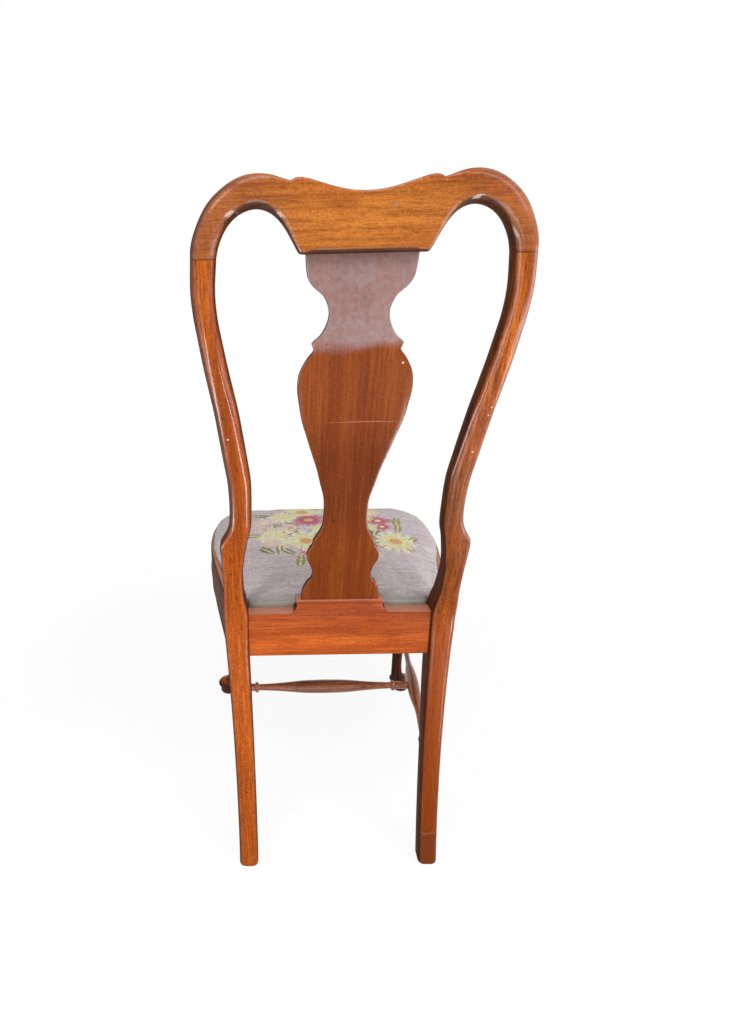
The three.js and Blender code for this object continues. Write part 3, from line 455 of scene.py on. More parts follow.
def board(name, outline, radii, thickness, rear_at, step=6.0, arc_steps=6):
    """Outline points go round once; radii is one edge radius per point"""
    def row(angle, shift, side):
        ring = offset_ring(outline, [radius * (1 - math.sin(angle)) for radius in radii])
        sink = [side * radius * (1 - math.cos(angle)) for radius in radii]
        return [Vector((p.x, rear_at(p.y) - shift - down, p.y)) for p, down in zip(ring, sink)]

    angles = quarter_turn(arc_steps)
    rows = [row(angle, 0, 1) for angle in angles]
    rows += [row(angle, thickness, -1) for angle in reversed(angles)]
    points, faces = skin(rows)
    net, triangles = filled(offset_ring(outline, radii), step)
    for shift in (0, thickness):
        start = len(points)
        points += [Vector((p.x, rear_at(p.y) - shift, p.y)) for p in net]
        faces += [tuple(start + i for i in triangle) for triangle in triangles]
    return make_object(name, points, faces)


def offset_ring(outline, distances):
    """Outline moved inwards by its own distance at each point"""
    area = sum(
        a.x * b.y - b.x * a.y for a, b in zip(outline, outline[1:] + outline[:1])
    )
    turn = 1 if area > 0 else -1
    ring = []
    for i, point in enumerate(outline):
        before = (point - outline[i - 1]).normalized()
        after = (outline[(i + 1) % len(outline)] - point).normalized()
        inward = Vector((-(before.y + after.y), before.x + after.x)).normalized() * turn
        miter = max(abs(inward.dot(Vector((-after.y, after.x)))), sharpest_miter)
        ring.append(point + inward * (distances[i] / miter))
    return ring


def filled(outline, step):
    """An even net of triangles inside an outline"""
    xs = [point.x for point in outline]
    ys = [point.y for point in outline]
    inside = []
    for i in range(int((max(xs) - min(xs)) / step) + 1):
        for j in range(int((max(ys) - min(ys)) / step) + 1):
            place = Vector((min(xs) + (i + 0.5 * (j % 2)) * step, min(ys) + j * step))
            if min((place - point).length for point in outline) > step * net_clearance:
                inside.append(place)
    count = len(outline)
    edges = [(i, (i + 1) % count) for i in range(count)]
    vertices, _, triangles, *_ = delaunay_2d_cdt(
        outline + inside, edges, [], 1, net_tolerance,
    )
    return vertices, triangles


# The rear posts' path

setback_at = smooth(setback_shares)
bow_at = smooth(bow_shares)
stile_width_at = smooth(stile_width_shares)
stile_height = crest_joint - rail_top


def back_face(z):
    if z < rake_start:
        return foot_setback * ((rake_start - z) / rake_start) ** rake_power
    return crest_setback * setback_at((z - rake_start) / (crest_top - rake_start))


def leg_inside(z):
    rise = min(z / rail_bottom, 1) ** inner_spread_power
    return lerp(foot_half_spacing - leg_width / 2, post_face, rise)


def leg_outside(z):
    rise = min(z / rake_start, 1) ** outer_spread_power
    return lerp(foot_half_spacing + leg_width / 2, post_half_spacing + post_width / 2, rise)


def post_centre(z):
    if z > rail_top:
        return post_half_spacing + stile_bow * bow_at((z - rail_top) / stile_height)
    return (leg_inside(z) + leg_outside(z)) / 2


def post_wide(z):
    if z > rail_top:
        return post_width * stile_width_at((z - rail_top) / stile_height)
    return leg_outside(z) - leg_inside(z)


def post_deep(z):
    if z > rail_top:
        return lerp(post_depth, stile_depth, smoothstep(z, rail_top, rail_top + stile_ease))
    return lerp(leg_depth, post_depth, smoothstep(z, stretcher_height, rail_bottom))


stile_radii = (13.0, 12.5, 12.5, 13.0)
seat_radii = (5.0, 5.5, 7.0, 7.0)
nub_height = rail_top + 0.262 * stile_height
seat_ease = (rail_top - 20, rail_top + 30)
nub_ease = (nub_height - 20, nub_height + 50)


def post_section(z, inset=0.0):
    deep = post_deep(z)
    shape = smoothstep(z, *seat_ease)
    slender = smoothstep(z, *nub_ease)
    radii = [
        lerp(lerp(leg_round, low, shape), high, slender)
        for low, high in zip(seat_radii, stile_radii)
    ]
    half_wide = post_wide(z) / 2 - inset
    return rounded_ring(
        post_centre(z), back_face(z) - deep / 2, z, half_wide, deep / 2 - inset, radii,
    )


def rear_post():
    rings = [
        post_section(foot_round * (1 - math.cos(angle)), foot_round * (1 - math.sin(angle)))
        for angle in quarter_turn(4)
    ]
    count = round((crest_joint - foot_round) / fine_step)
    for k in range(1, count + 1):
        rings.append(post_section(lerp(foot_round, crest_joint, k / count)))
    return loft("left_rear_post_visual", rings)


# Crest rail

arm_centre = post_centre(crest_joint)
arm_half = post_wide(crest_joint) / 2
crest_half_width = arm_centre + arm_half
arm_inside = arm_centre - arm_half
thin_edge = 3.0
lug_edge = 8.0
lug_corner = 4.6
corner_edge = lug_corner - 0.4
lug_ease = 16
arch_ease_points = 14
thin_ease = (0.42 * crest_half_width, 0.7 * crest_half_width)
least_spacing = 0.4


def crest_line(shares):
    """Evenly spaced points on a curve given in shares of the crest's half width and rise"""
    points = [
        Vector((across * crest_half_width, crest_joint + up * crest_rise))
        for across, up in shares
    ]
    return respaced(curve_through(points, curve_parts), fine_step)


def crest_half():
    """Half the outline with the edge radius at each point, from the middle
    of the lug round to the middle of the top"""
    arch = [
        Vector((lerp(lug_half_width, arm_inside, across), crest_joint + up * arch_height))
        for across, up in arch_shares
    ]
    arch[-1] = Vector((lug_half_width + lug_drop, crest_joint + lug_drop))
    under = respaced(curve_through(arch[::-1], curve_parts), fine_step)
    lug = respaced([Vector((0, crest_joint + lug_drop)), under[0]], fine_step)
    end_low = crest_joint - overrun / 2
    inner_end = respaced([under[-1], Vector((arm_inside, end_low))], fine_step)
    outer_end = [Vector((crest_half_width, z)) for z in (end_low, crest_joint)]
    while (under[1] - under[0]).length < lug_corner:
        del under[1]
    half = []
    for point in lug:
        left = (point - lug[-1]).length
        if left > lug_corner:
            share = smoothstep(left, lug_corner, lug_ease)
            half.append((point, lerp(corner_edge, lug_edge, share)))
    corner = rounded_corner(lug[-2], under[0], under[1], lug_corner)
    half += [(point, corner_edge) for point in corner]
    for i, point in enumerate(under[1:]):
        share = smoothstep(i, 0, arch_ease_points)
        half.append((point, lerp(corner_edge, stile_radii[1], share)))
    half += [(point, stile_radii[1]) for point in inner_end[1:]]
    half += [(point, stile_radii[0]) for point in respaced(outer_end, fine_step)[:-1]]
    for point in crest_line(hump_shares):
        half.append((point, lerp(thin_edge, stile_radii[0], smoothstep(point.x, *thin_ease))))
    half += [(point, thin_edge) for point in crest_line(yoke_shares)]
    return half


def rounded_corner(before, corner, after, radius, steps=6):
    """Points of an arc in place of a sharp corner"""
    into = (before - corner).normalized()
    out = (after - corner).normalized()
    half_turn = into.angle(out) / 2
    centre = corner + (into + out).normalized() * (radius / math.sin(half_turn))
    start = corner + into * (radius / math.tan(half_turn)) - centre
    end = corner + out * (radius / math.tan(half_turn)) - centre
    sweep = math.pi - 2 * half_turn
    found = []
    for k in range(steps + 1):
        share = k / steps
        first = math.sin((1 - share) * sweep) / math.sin(sweep)
        second = math.sin(share * sweep) / math.sin(sweep)
        found.append(centre + start * first + end * second)
    return found


def crest_rear(z):
    return back_face(max(z, crest_joint))


def crest_rail():
    half = crest_half()
    both = half + [(Vector((-point.x, point.y)), edge) for point, edge in reversed(half[1:-1])]
    both = [
        (point, edge) for i, (point, edge) in enumerate(both)
        if (point - both[i - 1][0]).length > least_spacing
    ]
    outline, edges = zip(*both)
    obj = board("crest_rail_visual", list(outline), edges, stile_depth, crest_rear)
    cut(obj, (0, 0, crest_joint), (0, 0, -1))
    return obj


# Splat

splat_top = crest_joint + lug_drop
splat_at = smooth(splat_shares)
splat_ring_step = 3.0
splat_columns = 12
splat_tongue = 6
splat_space_top = 8


def splat_ring(z, half):
    rear = back_face(z) - splat_inset
    front = rear - splat_thickness
    edge = splat_edge
    bevel = 0.3 * edge
    shares = even_shares(0, 1, splat_columns)
    line = [(lerp(half - edge, edge - half, share), rear) for share in shares]
    line += [(bevel - half, rear - bevel), (-half, rear - edge)]
    line += [(-half, front + edge), (bevel - half, front + bevel)]
    line += [(lerp(edge - half, half - edge, share), front) for share in shares]
    line += [(half - bevel, front + bevel), (half, front + edge)]
    line += [(half, rear - edge), (half - bevel, rear - bevel)]
    return [Vector((x, y, z)) for x, y in line]


def splat():
    height = splat_top - rail_top
    shares = []
    for (a, _), (b, _) in zip(splat_shares, splat_shares[1:]):
        parts = max(2, round((b - a) * height / splat_ring_step))
        shares += even_shares(a, b, parts)[:-1]
    shares.append(1.0)
    rings = [
        splat_ring(rail_top + glue_line + share * height, belly_half_width * splat_at(share))
        for share in shares
    ]
    rings.append(splat_ring(splat_top + splat_tongue, belly_half_width * splat_at(1)))
    return loft("splat_visual", rings)


def splat_space():
    """The splat's room in the crest rail"""
    half = belly_half_width * splat_shares[-1][1] + glue_line
    rear = back_face(splat_top) - splat_inset + glue_line
    front = back_face(splat_top) - splat_inset - splat_thickness - glue_line
    rings = []
    for z in (splat_top - overrun, splat_top + splat_space_top):
        lean = back_face(z) - back_face(splat_top)
        rings.append([
            Vector((x, y + lean, z))
            for x, y in ((half, rear), (-half, rear), (-half, front), (half, front))
        ])
    return loft("splat_space", rings)


# Shoe

shoe_round = 0.6
lip_corner = 1.8
lip_edge = 1.4
lip_rounding = [(0.0, 0.7), (0.2, 0.2), (0.8, 0.0)] + [
    (shoe_lip - lip_edge * (1 - math.sin(angle)), lip_edge * (1 - math.cos(angle)))
    for angle in quarter_turn(4)
]


def splat_shoe(hollow_steps=12):
    """A block with hollowed ends under a lip that overhangs the rear rail"""
    bottom = rail_top + glue_line
    lip_bottom = rail_top + shoe_height - shoe_lip
    neck = shoe_lip_half_width - shoe_neck
    middle = -rear_rail_setback - rear_rim / 2
    rings = []
    for k in range(hollow_steps + 1):
        angle = math.pi * (1 + 0.5 * (hollow_steps - k) / hollow_steps)
        half = neck + shoe_flare * (1 + math.cos(angle))
        z = lip_bottom + (lip_bottom - bottom) * math.sin(angle)
        rings.append(rounded_ring(0, middle, z, half, rear_rim / 2, [shoe_round] * 4, 3))
    middle += shoe_overhang / 2
    deep = (rear_rim + shoe_overhang) / 2
    for rise, inward in lip_rounding:
        radii = [lip_corner - inward] * 4
        half = shoe_lip_half_width - inward
        rings.append(rounded_ring(0, middle, lip_bottom + rise, half, deep - inward, radii, 3))
    return loft("splat_shoe_visual", rings)


# Seat rails

rear_rail_rounds = (2.2, 1.1, 1.0, 0.4, 0.8, 1.5)
lower_arris = 2.0
lower_chamfer = 0.6
upper_chamfer = 0.6


def rear_rail(parts=24, corner_steps=5):
    """A bar along X whose section has a rounding at each corner"""
    rear = -rear_rail_setback
    front = rear - rear_rim
    corners = [Vector(corner) for corner in (
        (rear, rail_bottom), (rear, rail_top), (front, rail_top), (front, ledge),
        (-post_depth, ledge), (-post_depth, rail_bottom),
    )]
    section = []
    for i, here in enumerate(corners):
        radius = rear_rail_rounds[i]
        into = (corners[i - 1] - here).normalized()
        out = (corners[(i + 1) % len(corners)] - here).normalized()
        for t in even_shares(0, 1, corner_steps):
            section.append(
                (here + into * radius) * (1 - t) ** 2 + here * 2 * t * (1 - t)
                + (here + out * radius) * t ** 2
            )
    half = post_face - glue_line
    rings = [
        [Vector((lerp(-half, half, share), point.x, point.y)) for point in section]
        for share in even_shares(0, 1, parts)
    ]
    return loft("rear_seat_rail_visual", rings)


def plan_curve():
    rear = -post_depth
    start = Vector((post_half_spacing + post_width / 2 - side_rail_shoulder, rear))
    points = [
        Vector((across * seat_half_width, rear - deep * (seat_depth - post_depth)))
        for across, deep in compass_shares
    ]
    lead = start + (start - points[0]).normalized() * overrun
    half = [lead, start, *points]
    other = [Vector((-point.x, point.y)) for point in reversed(half[:-1])]
    return respaced(curve_through(half + other, 16), fine_step)


compass = plan_curve()


def plan_line(inset):
    line = []
    for i, point in enumerate(compass):
        along = (compass[min(i + 1, len(compass) - 1)] - compass[max(i - 1, 0)]).normalized()
        line.append(Vector((point.x + along.y * inset, point.y - along.x * inset)))
    return line


def rim_profile():
    """Outer face, round upper edge and rabbet of the seat rails: inset and height"""
    rows = [(lower_arris, rail_bottom), (lower_chamfer, rail_bottom + lower_chamfer)]
    rows.append((0.0, rail_bottom + lower_arris))
    for angle in quarter_turn(8):
        rows.append((
            rim_round * (1 - math.cos(angle)), rail_top - rim_round * (1 - math.sin(angle)),
        ))
    return rows + [(rim - upper_chamfer, rail_top), (rim, rail_top - upper_chamfer), (rim, ledge)]


def rail_ring():
    """The side and front rails in one swept bar"""
    rows = rim_profile() + [(rail_thickness, ledge), (rail_thickness, rail_bottom)]
    lines = [level_ring(plan_line(inset), z) for inset, z in rows]
    return loft("rail_ring", list(zip(*lines)))


def seat_drum():
    """The whole plan of the seat up to its rim, for the front legs' posts"""
    return loft("drum", [level_ring(plan_line(inset), z) for inset, z in rim_profile()])


def side_rail(ring):
    obj = copy_of(ring, "left_side_seat_rail_visual")
    cut(obj, (0, -post_depth - glue_line, 0), (0, 1, 0))
    cut(obj, (0, leg_post_y + glue_line, 0), (0, -1, 0))
    cut(obj, (0, 0, 0), (-1, 0, 0))
    return obj


def front_rail(ring):
    obj = copy_of(ring, "front_seat_rail_visual")
    half = leg_post_x - glue_line
    cut(obj, (0, leg_post_y, 0), (0, 1, 0))
    cut(obj, (half, 0, 0), (1, 0, 0))
    cut(obj, (-half, 0, 0), (-1, 0, 0))
    return obj


# Front legs

reach_at = smooth(reach_shares)
knee_width_at = smooth(knee_width_shares)
pad_at = smooth(pad_shares)
pad_rings = 22
leg_rings = 90
leg_tenon = 6
pad_disc_rows = [
    (0, 1.5), (0.5, 0.5), (1.5, 0), (pad_disc_height - 1, 0), (pad_disc_height, 0.8),
]


def leg_reach(z):
    return knee_reach * reach_at(z / rail_bottom)


def leg_ring(reach, z, half, power=2):
    """Level ring round the leg's axis, which reaches outwards and forwards"""
    return soft_ring(ankle_half_spacing + reach, -ankle_depth - reach, z, half, power)


def leg_section(share, clearance=0.0):
    z = share * rail_bottom
    power = lerp(2, square_knee, smoothstep(share, 0.3, 0.9))
    half = knee_half_width * knee_width_at(share) + clearance
    return leg_ring(leg_reach(z), z, half, power)


def pad_section(share):
    z = pad_disc_height + share * (pad_top - pad_disc_height)
    reach = lerp(pad_reach, leg_reach(z), smoothstep(share, 0.4, 1))
    return leg_ring(reach, z, pad_radius * pad_at(share))


def cabriole():
    rings = [leg_ring(pad_reach, z, pad_disc_radius - inset) for z, inset in pad_disc_rows]
    rings += [pad_section(share) for share in even_shares(pad_shares[0][0], 1, pad_rings)]
    rings += [leg_section(share) for share in even_shares(knee_width_shares[0][0], 1, leg_rings)]
    rings.append(leg_ring(0, rail_bottom + leg_tenon, knee_half_width - 1, square_knee))
    return loft("left_front_leg_visual", rings)


def front_leg(drum):
    post = copy_of(drum, "post")
    cut(post, (leg_post_x, 0, 0), (-1, 0, 0))
    cut(post, (0, leg_post_y, 0), (0, 1, 0))
    leg = cabriole()
    combine(leg, post, "UNION")
    return leg


def knee_space():
    shares = even_shares(0.5, 1, 30)
    return loft("knee_space", [leg_section(share, glue_line) for share in shares])


# Knee brackets

bracket_edge = 0.8
bracket_net = 7.0


def bracket_outline(steps=16):
    """C-shaped bracket: length along the rail and drop below it"""
    points = [Vector((-bracket_length, 0)), Vector((0, 0)), Vector((0, -bracket_height))]
    line = respaced(points, fine_step)
    curve = []
    for k in range(steps + 1):
        angle = (1 - k / steps) * math.pi / 2
        curve.append(Vector((
            -bracket_length + (bracket_length - bracket_toe) * math.sin(angle),
            -bracket_toe - (bracket_height - bracket_toe) * (1 - math.cos(angle)),
        )))
    end = respaced([curve[-1], points[0]], fine_step)
    return line[:-1] + [points[-1]] + curve[:-1] + end[:-1]


def bracket(name, x, y, turn):
    outline = bracket_outline()
    radii = [bracket_edge] * len(outline)
    obj = board(name, outline, radii, bracket_thickness, lambda _: 0.0, bracket_net, 2)
    shift = Matrix.Translation(Vector((0, back_offset * MM, 0)))
    move = Matrix.Translation(Vector((x, y, rail_bottom - glue_line)) * MM)
    obj.data.transform(shift @ move @ Matrix.Rotation(turn, 4, "Z") @ shift.inverted())
    combine(obj, knee_space(), "DIFFERENCE")
    return obj


def knee_brackets():
    start = ankle_half_spacing - bracket_inset
    near_front = [
        p.y for p in compass
        if p.y < leg_post_y and abs(p.x - leg_post_x + bracket_length) < overrun
    ]
    near_side = [
        abs(p.x) for p in compass
        if p.x > 0 and abs(p.y - leg_post_y - bracket_length) < overrun
    ]
    front = bracket(
        "left_front_knee_bracket_visual",
        start, max(near_front) + bracket_inset + bracket_thickness, 0,
    )
    side = bracket(
        "left_side_knee_bracket_visual",
        min(near_side) - bracket_inset, start - ankle_half_spacing - ankle_depth, -math.pi / 2,
    )
    return front, side


# Stretchers

side_tenon = 4
medial_tenon = 1.5
end_chamfer = 0.6
bead_fillet = 0.8
bead_foot = end_radius - 0.4
neck_start = end_radius - 1.2
rear_socket = Vector((
    post_centre(stretcher_height),
    back_face(stretcher_height) - post_deep(stretcher_height) / 2,
    stretcher_height,
))
front_socket = Vector((
    ankle_half_spacing + leg_reach(stretcher_height),
    -ankle_depth - leg_reach(stretcher_height),
    stretcher_height,
))
side_middle = (rear_socket + front_socket) / 2


def turned_half(half, bead, neck, bulb, bulb_shares):
    """Half a turning, from its end to its middle: (distance, radius)"""
    rows = [(-half, end_radius - end_chamfer), (-half + end_chamfer, end_radius)]
    rows.append((-bead - bead_width / 2 - bead_fillet, end_radius))
    for k in range(11):
        angle = math.pi * k / 10
        rows.append((
            -bead - bead_width / 2 * math.cos(angle),
            lerp(bead_foot, bead_radius, math.sin(angle) ** 0.8),
        ))
    dip = -bead + bead_width / 2 + bead_fillet
    low = bulb_shares[0][0]
    for t in even_shares(0, 1, 8)[:-1]:
        rows.append((lerp(dip, low * bead, t), lerp(neck_start, neck, smoothstep(t, 0, 1))))
    swell = smooth(bulb_shares)
    for along in even_shares(low, 0, 24):
        rows.append((along * bead, lerp(neck, bulb, swell(along))))
    return rows


def turning(name, middle, towards, rows, sides=40):
    """Turned piece that is the same at both ends"""
    along = (towards - middle).normalized()
    across = along.cross(Vector((0, 0, 1))).normalized()
    up = across.cross(along)
    angles = [k / sides * 2 * math.pi for k in range(sides)]
    spokes = [across * math.cos(angle) + up * math.sin(angle) for angle in angles]
    both = rows + [(-distance, radius) for distance, radius in reversed(rows[:-1])]
    return loft(name, [
        [middle + along * distance + spoke * radius for spoke in spokes]
        for distance, radius in both
    ])


def side_stretcher():
    half = (front_socket - rear_socket).length / 2 - socket_face + side_tenon
    bead = half - side_tenon - side_bead_inset
    rows = turned_half(half, bead, neck_radius, bulb_radius, side_bulb_shares)
    return turning("left_side_stretcher_visual", side_middle, front_socket, rows)


def medial_stretcher():
    half = side_middle.x - bulb_radius + medial_tenon
    bead = half - medial_tenon - bead_inset
    rows = turned_half(half, bead, medial_neck_radius, medial_bulb_radius, medial_bulb_shares)
    middle = Vector((0, side_middle.y, stretcher_height))
    return turning("medial_stretcher_visual", middle, side_middle, rows)


# Node trees

class Value:
    """What a node puts out, and short ways to reckon on from it"""

    def __init__(self, nodes, socket):
        self.nodes = nodes
        self.socket = socket

    def math(self, operation, *others):
        return self.nodes.add("Math", dict(enumerate((self, *others))), operation=operation)

    def vector(self, operation, *others):
        return self.nodes.add("VectorMath", dict(enumerate((self, *others))), operation=operation)

    def __add__(self, other):
        return self.math("ADD", other)

    def __sub__(self, other):
        return self.math("SUBTRACT", other)

    def __mul__(self, other):
        return self.math("MULTIPLY", other)

    def __truediv__(self, other):
        return self.math("DIVIDE", other)

    def __rsub__(self, other):
        return self.nodes.add("Math", {0: other, 1: self}, operation="SUBTRACT")

    def __rtruediv__(self, other):
        return self.nodes.add("Math", {0: other, 1: self}, operation="DIVIDE")

    def __abs__(self):
        return self.math("ABSOLUTE")

    def most(self, other):
        return self.math("MAXIMUM", other)

    def below(self, other):
        return self.math("LESS_THAN", other)

    def scaled(self, factor):
        return self.nodes.add("VectorMath", {0: self, "Scale": factor}, operation="SCALE")

    def length(self):
        return self.vector("LENGTH").output("Value")

    def output(self, key):
        """Another output of the same node"""
        return Value(self.nodes, self.socket.node.outputs[key])

    def parts(self, kind="SeparateXYZ"):
        first = self.nodes.add(kind, {0: self})
        return first, first.output(1), first.output(2)

    def noise(self, scale, detail=3.0, roughness=0.6):
        return self.nodes.add("TexNoise", {
            "Vector": self, "Scale": scale, "Detail": detail, "Roughness": roughness,
        }, "Fac")

    def between(self, low, high, to_low=0.0, to_high=1.0):
        """Runs smoothly between two levels while this value runs from low to high"""
        return self.nodes.add("MapRange", {
            "Value": self, "From Min": low, "From Max": high, "To Min": to_low, "To Max": to_high,
        }, "Result", interpolation_type="SMOOTHSTEP")

    def mix(self, share, tint, blend="MIX"):
        return self.nodes.mix(share, self, tint, blend)

    def layered(self, *layers):
        """This colour under others, each laid on where a value runs from low to high"""
        colour = self
        for value, low, high, share, tint in layers:
            colour = colour.mix(value.between(low, high, 0.0, share), tint)
        return colour

    def ramp(self, stops):
        """Colours in steps: each from its share on"""
        colour = self.nodes.add("ValToRGB", {"Fac": self}, "Color")
        ramp = colour.socket.node.color_ramp
        ramp.interpolation = "CONSTANT"
        while len(ramp.elements) < len(stops):
            ramp.elements.new(1.0)
        for element, (share, tint) in zip(ramp.elements, stops):
            element.position = share
            element.color = (*tint, 1.0)
        return colour


class Nodes:
    """A node tree, and short ways to add nodes to it"""

    def __init__(self, tree):
        self.tree = tree
        tree.nodes.clear()

    def add(self, kind, inputs=None, out=0, **settings):
        """A new node with its settings and inputs; gives back what it puts out"""
        node = self.tree.nodes.new("ShaderNode" + kind)
        for key, value in settings.items():
            setattr(node, key, value)
        for key, value in (inputs or {}).items():
            self.put(node.inputs[key], value)
        return Value(self, node.outputs[out]) if node.outputs else None

    def put(self, socket, value):
        if isinstance(value, Value):
            self.tree.links.new(value.socket, socket)
        elif socket.type == "RGBA":
            socket.default_value = (*value, 1.0)
        else:
            socket.default_value = value

    def mix(self, share, first, second, blend="MIX"):
        inputs = {0: share, 6: first, 7: second}
        return self.add("Mix", inputs, 2, data_type="RGBA", blend_type=blend)

    def place(self):
        return self.add("TexCoord", out="Object")

    def millimetres(self, axis):
        """Place along an axis, in millimetres"""
        return self.place().parts()[axis] * (1 / MM)

    def surface(self, look, relief, depth, strength):
        """The finished material"""
        normal = self.add("Bump", {"Height": relief, "Distance": depth, "Strength": strength})
        self.add("OutputMaterial", {0: self.add("BsdfPrincipled", {**look, "Normal": normal})})
        return self.material


def new_material(name):
    material = bpy.data.materials.new(name)
    material.use_nodes = True
    nodes = Nodes(material.node_tree)
    nodes.material = material
    return nodes


# Wood, its wear and its painted shade

walnut_light = (0.53, 0.135, 0.0165)
walnut_dark = (0.28, 0.05, 0.007)
# Painted light: the left rear post gets a lighter copy of the walnut than the right one
lit_post_light = (0.8, 0.205, 0.027)
lit_post_dark = (0.46, 0.092, 0.012)
golden_light = (0.52, 0.176, 0.032)
golden_dark = (0.335, 0.09, 0.017)
reddish_light = (0.77, 0.175, 0.031)
reddish_dark = (0.44, 0.08, 0.015)
splat_light = (0.32, 0.077, 0.0125)
splat_dark = (0.22, 0.044, 0.0075)
turned_light = (0.72, 0.25, 0.11)
turned_dark = (0.26, 0.068, 0.028)
side_turned_light = (0.45, 0.112, 0.02)
side_turned_dark = (0.2, 0.042, 0.0095)
plain_light = (0.6, 0.4, 0.2)
plain_dark = (0.42, 0.25, 0.11)
# Painted shade: dark tones laid on the sides and undersides, and a lighter pair on the front
side_shade_light = (0.078, 0.019, 0.006)
side_shade_dark = (0.028, 0.009, 0.004)
front_shade_light = (0.27, 0.062, 0.017)
front_shade_dark = (0.112, 0.025, 0.009)
joint_dark = (0.04, 0.014, 0.008)
# Painted sheen: the pale tint laid over the upper part of the splat
painted_sheen = (0.38, 0.325, 0.345)
polish_from = (250.0, 430.0)

# Depths of relief, in metres
wood_relief = 0.00012
weave_relief = 0.0004
stitch_relief = 0.0004
steel_relief = 0.0001


def shaded(colour, share):
    return tuple(share * part for part in colour)


def grain_place(nodes, axis, shift, stretch):
    """Place in the wood, drawn out along the grain, which follows the lean of the back"""
    scale = [1.0, 1.0, 1.0]
    if axis != 1:
        scale[1] = 4 * stretch
    scale[axis] = stretch
    moved = nodes.place().vector("ADD", (shift, 0.7 * shift, 1.3 * shift))
    return moved.vector("MULTIPLY", tuple(scale))


def facing(nodes):
    """How far a surface faces outwards from the chair's middle, back, up and to one side"""
    side, back, up = nodes.add("TexCoord", out="Normal").parts()
    return side * nodes.millimetres(0).math("SIGN"), back, up, side


def polished(outwards, back, up):
    """Where the polish still shines: on the roundings at the back, which hands
    and cloths have rubbed, and on the front"""
    sideways = abs(outwards).between(0.1, 0.28)
    level = up.between(-0.3, -0.42).most(up.between(0.2, 0.4))
    edge = back + outwards.between(-0.2, 0.2, 0.0, 0.2)
    rounding = sideways.most(level) * edge.between(0.58, 0.78)
    return rounding.most(back.between(-0.2, -0.5))


def facing_shade(nodes, colour, streak, lit_range):
    """Painted shade by facing: all sides but the back, the tops and the side
    towards the light are darkened, undersides most, with a lighter tone on the front"""
    outwards, back, up, side = facing(nodes)
    share = streak.between(0.35, 0.65)
    # painted shade colour for faces turned from the light, lighter where they face the front
    old = nodes.mix(share, side_shade_light, side_shade_dark)
    old = old.mix(back.between(-0.2, -0.6), nodes.mix(share, front_shade_light, front_shade_dark))
    lit = back + side.between(-0.1, 0.5, 0.05, -0.17)
    unshaded = lit.between(*lit_range).most(up.between(0.5, 0.9, 0.0, 0.9))
    unshaded = unshaded * up.between(-0.3, -0.62, 1.0, 0.05)
    height = nodes.millimetres(2)
    return colour.mix(unshaded.between(0.0, 1.0, 0.92, 0.0), old), {
        "Roughness": unshaded.between(0.1, 0.8, 0.6, 0.38),
        "Specular IOR Level": 0.12,
        "Coat Weight": polished(outwards, back, up) * height.between(*polish_from, 0.15, 0.5),
    }


def wood(
    name, axis, light, dark, shift, extra=None, pores=0.8, lines=0.45, stretch=0.05,
    lit_range=(0.35, 0.75),
):
    """Polished open-grained wood with its grain along an axis"""
    nodes = new_material(name)
    grain = grain_place(nodes, axis, shift, stretch)
    pore = grain_place(nodes, axis, shift, 2.4 * stretch).noise(640.0, 2.0)
    streak = grain.noise(190.0, 4.0, 0.7)
    place = nodes.place()
    blotch = place.noise(16.0, 4.0)
    fleck = place.noise(420.0, 2.0)
    colour = nodes.mix(grain.noise(30.0).between(0.34, 0.66), dark, light).layered(
        (blotch, 0.48, 0.7, 0.55, dark),
        (streak, 0.5, 0.68, 0.6, shaded(dark, 0.55)),
        (streak, 0.48, 0.3, 0.5, shaded(light, 1.2)),
        (grain.noise(480.0, 2.0), 0.5, 0.62, lines, shaded(dark, 0.5)),
        (pore, 0.58, 0.66, pores, shaded(dark, 0.35)),
        (fleck, 0.48, 0.68, 0.45, shaded(dark, 0.7)),
        (fleck, 0.46, 0.3, 0.4, shaded(light, 1.2)),
    )
    if extra:
        colour = extra(colour)
    look = {"Roughness": 0.35, "Specular IOR Level": 0.4, "Coat Weight": 0.8}
    # painted shade by facing, where a lit range is given
    if lit_range:
        colour, look = facing_shade(nodes, colour, streak, lit_range)
    colour = colour.layered((place.noise(110.0, 2.0, 0.5), 0.735, 0.76, 0.8, shaded(dark, 0.1)))
    look.update({"Base Color": colour, "IOR": 1.3, "Coat Roughness": 0.1, "Coat IOR": 1.48})
    return nodes.surface(look, pore * -0.8 + streak, wood_relief, 0.5)


# Places of the wear, tone and painted sheen in millimetres: the crest's and the
# splat's by height or by distance from the middle, and knocks as (across, up, radius, colour)

redder_from = (85.0, 200.0)
browner_from = (50.0, 130.0)
arm_joint_from = (100.0, 110.0)
joint_half_width = (1.3, 0.4)
crest_foot_from = (962.0, 948.0)
painted_sheen_from = (846.0, 866.0)
neck_height = 650.0
neck_reach = (110.0, 30.0)
scratch_height = 744.0
scratch_half_width = (0.7, 0.3)
scratch_reach = (60.0, 10.0)
post_bright_below = (430.0, 650.0)
mended_brown_below = (520.0, 380.0)
bend_height = 575.0
bend_reach = (150.0, 90.0)
mend_top = (64.0, 60.0)
mend_seam = 63.0
seam_half_width = (1.8, 0.6)
rail_dark_from = (395.0, 450.0)
crest_knocks = [(134, 981, 2.2, (0.8, 0.75, 0.66)), (-30, 985, 2.2, (0.3, 0.2, 0.2))]
splat_knocks = [(-54, 817, 1.6, (0.9, 0.8, 0.6))]
post_knocks = [
    (154, 726, 1.6, (0.8, 0.7, 0.6)), (158, 754, 2.4, (0.08, 0.03, 0.015)),
    (180, 838, 3.6, (0.05, 0.02, 0.012)), (152, 470, 2.0, (0.06, 0.02, 0.01)),
    (146, 130, 1.5, (0.05, 0.02, 0.01)),
]
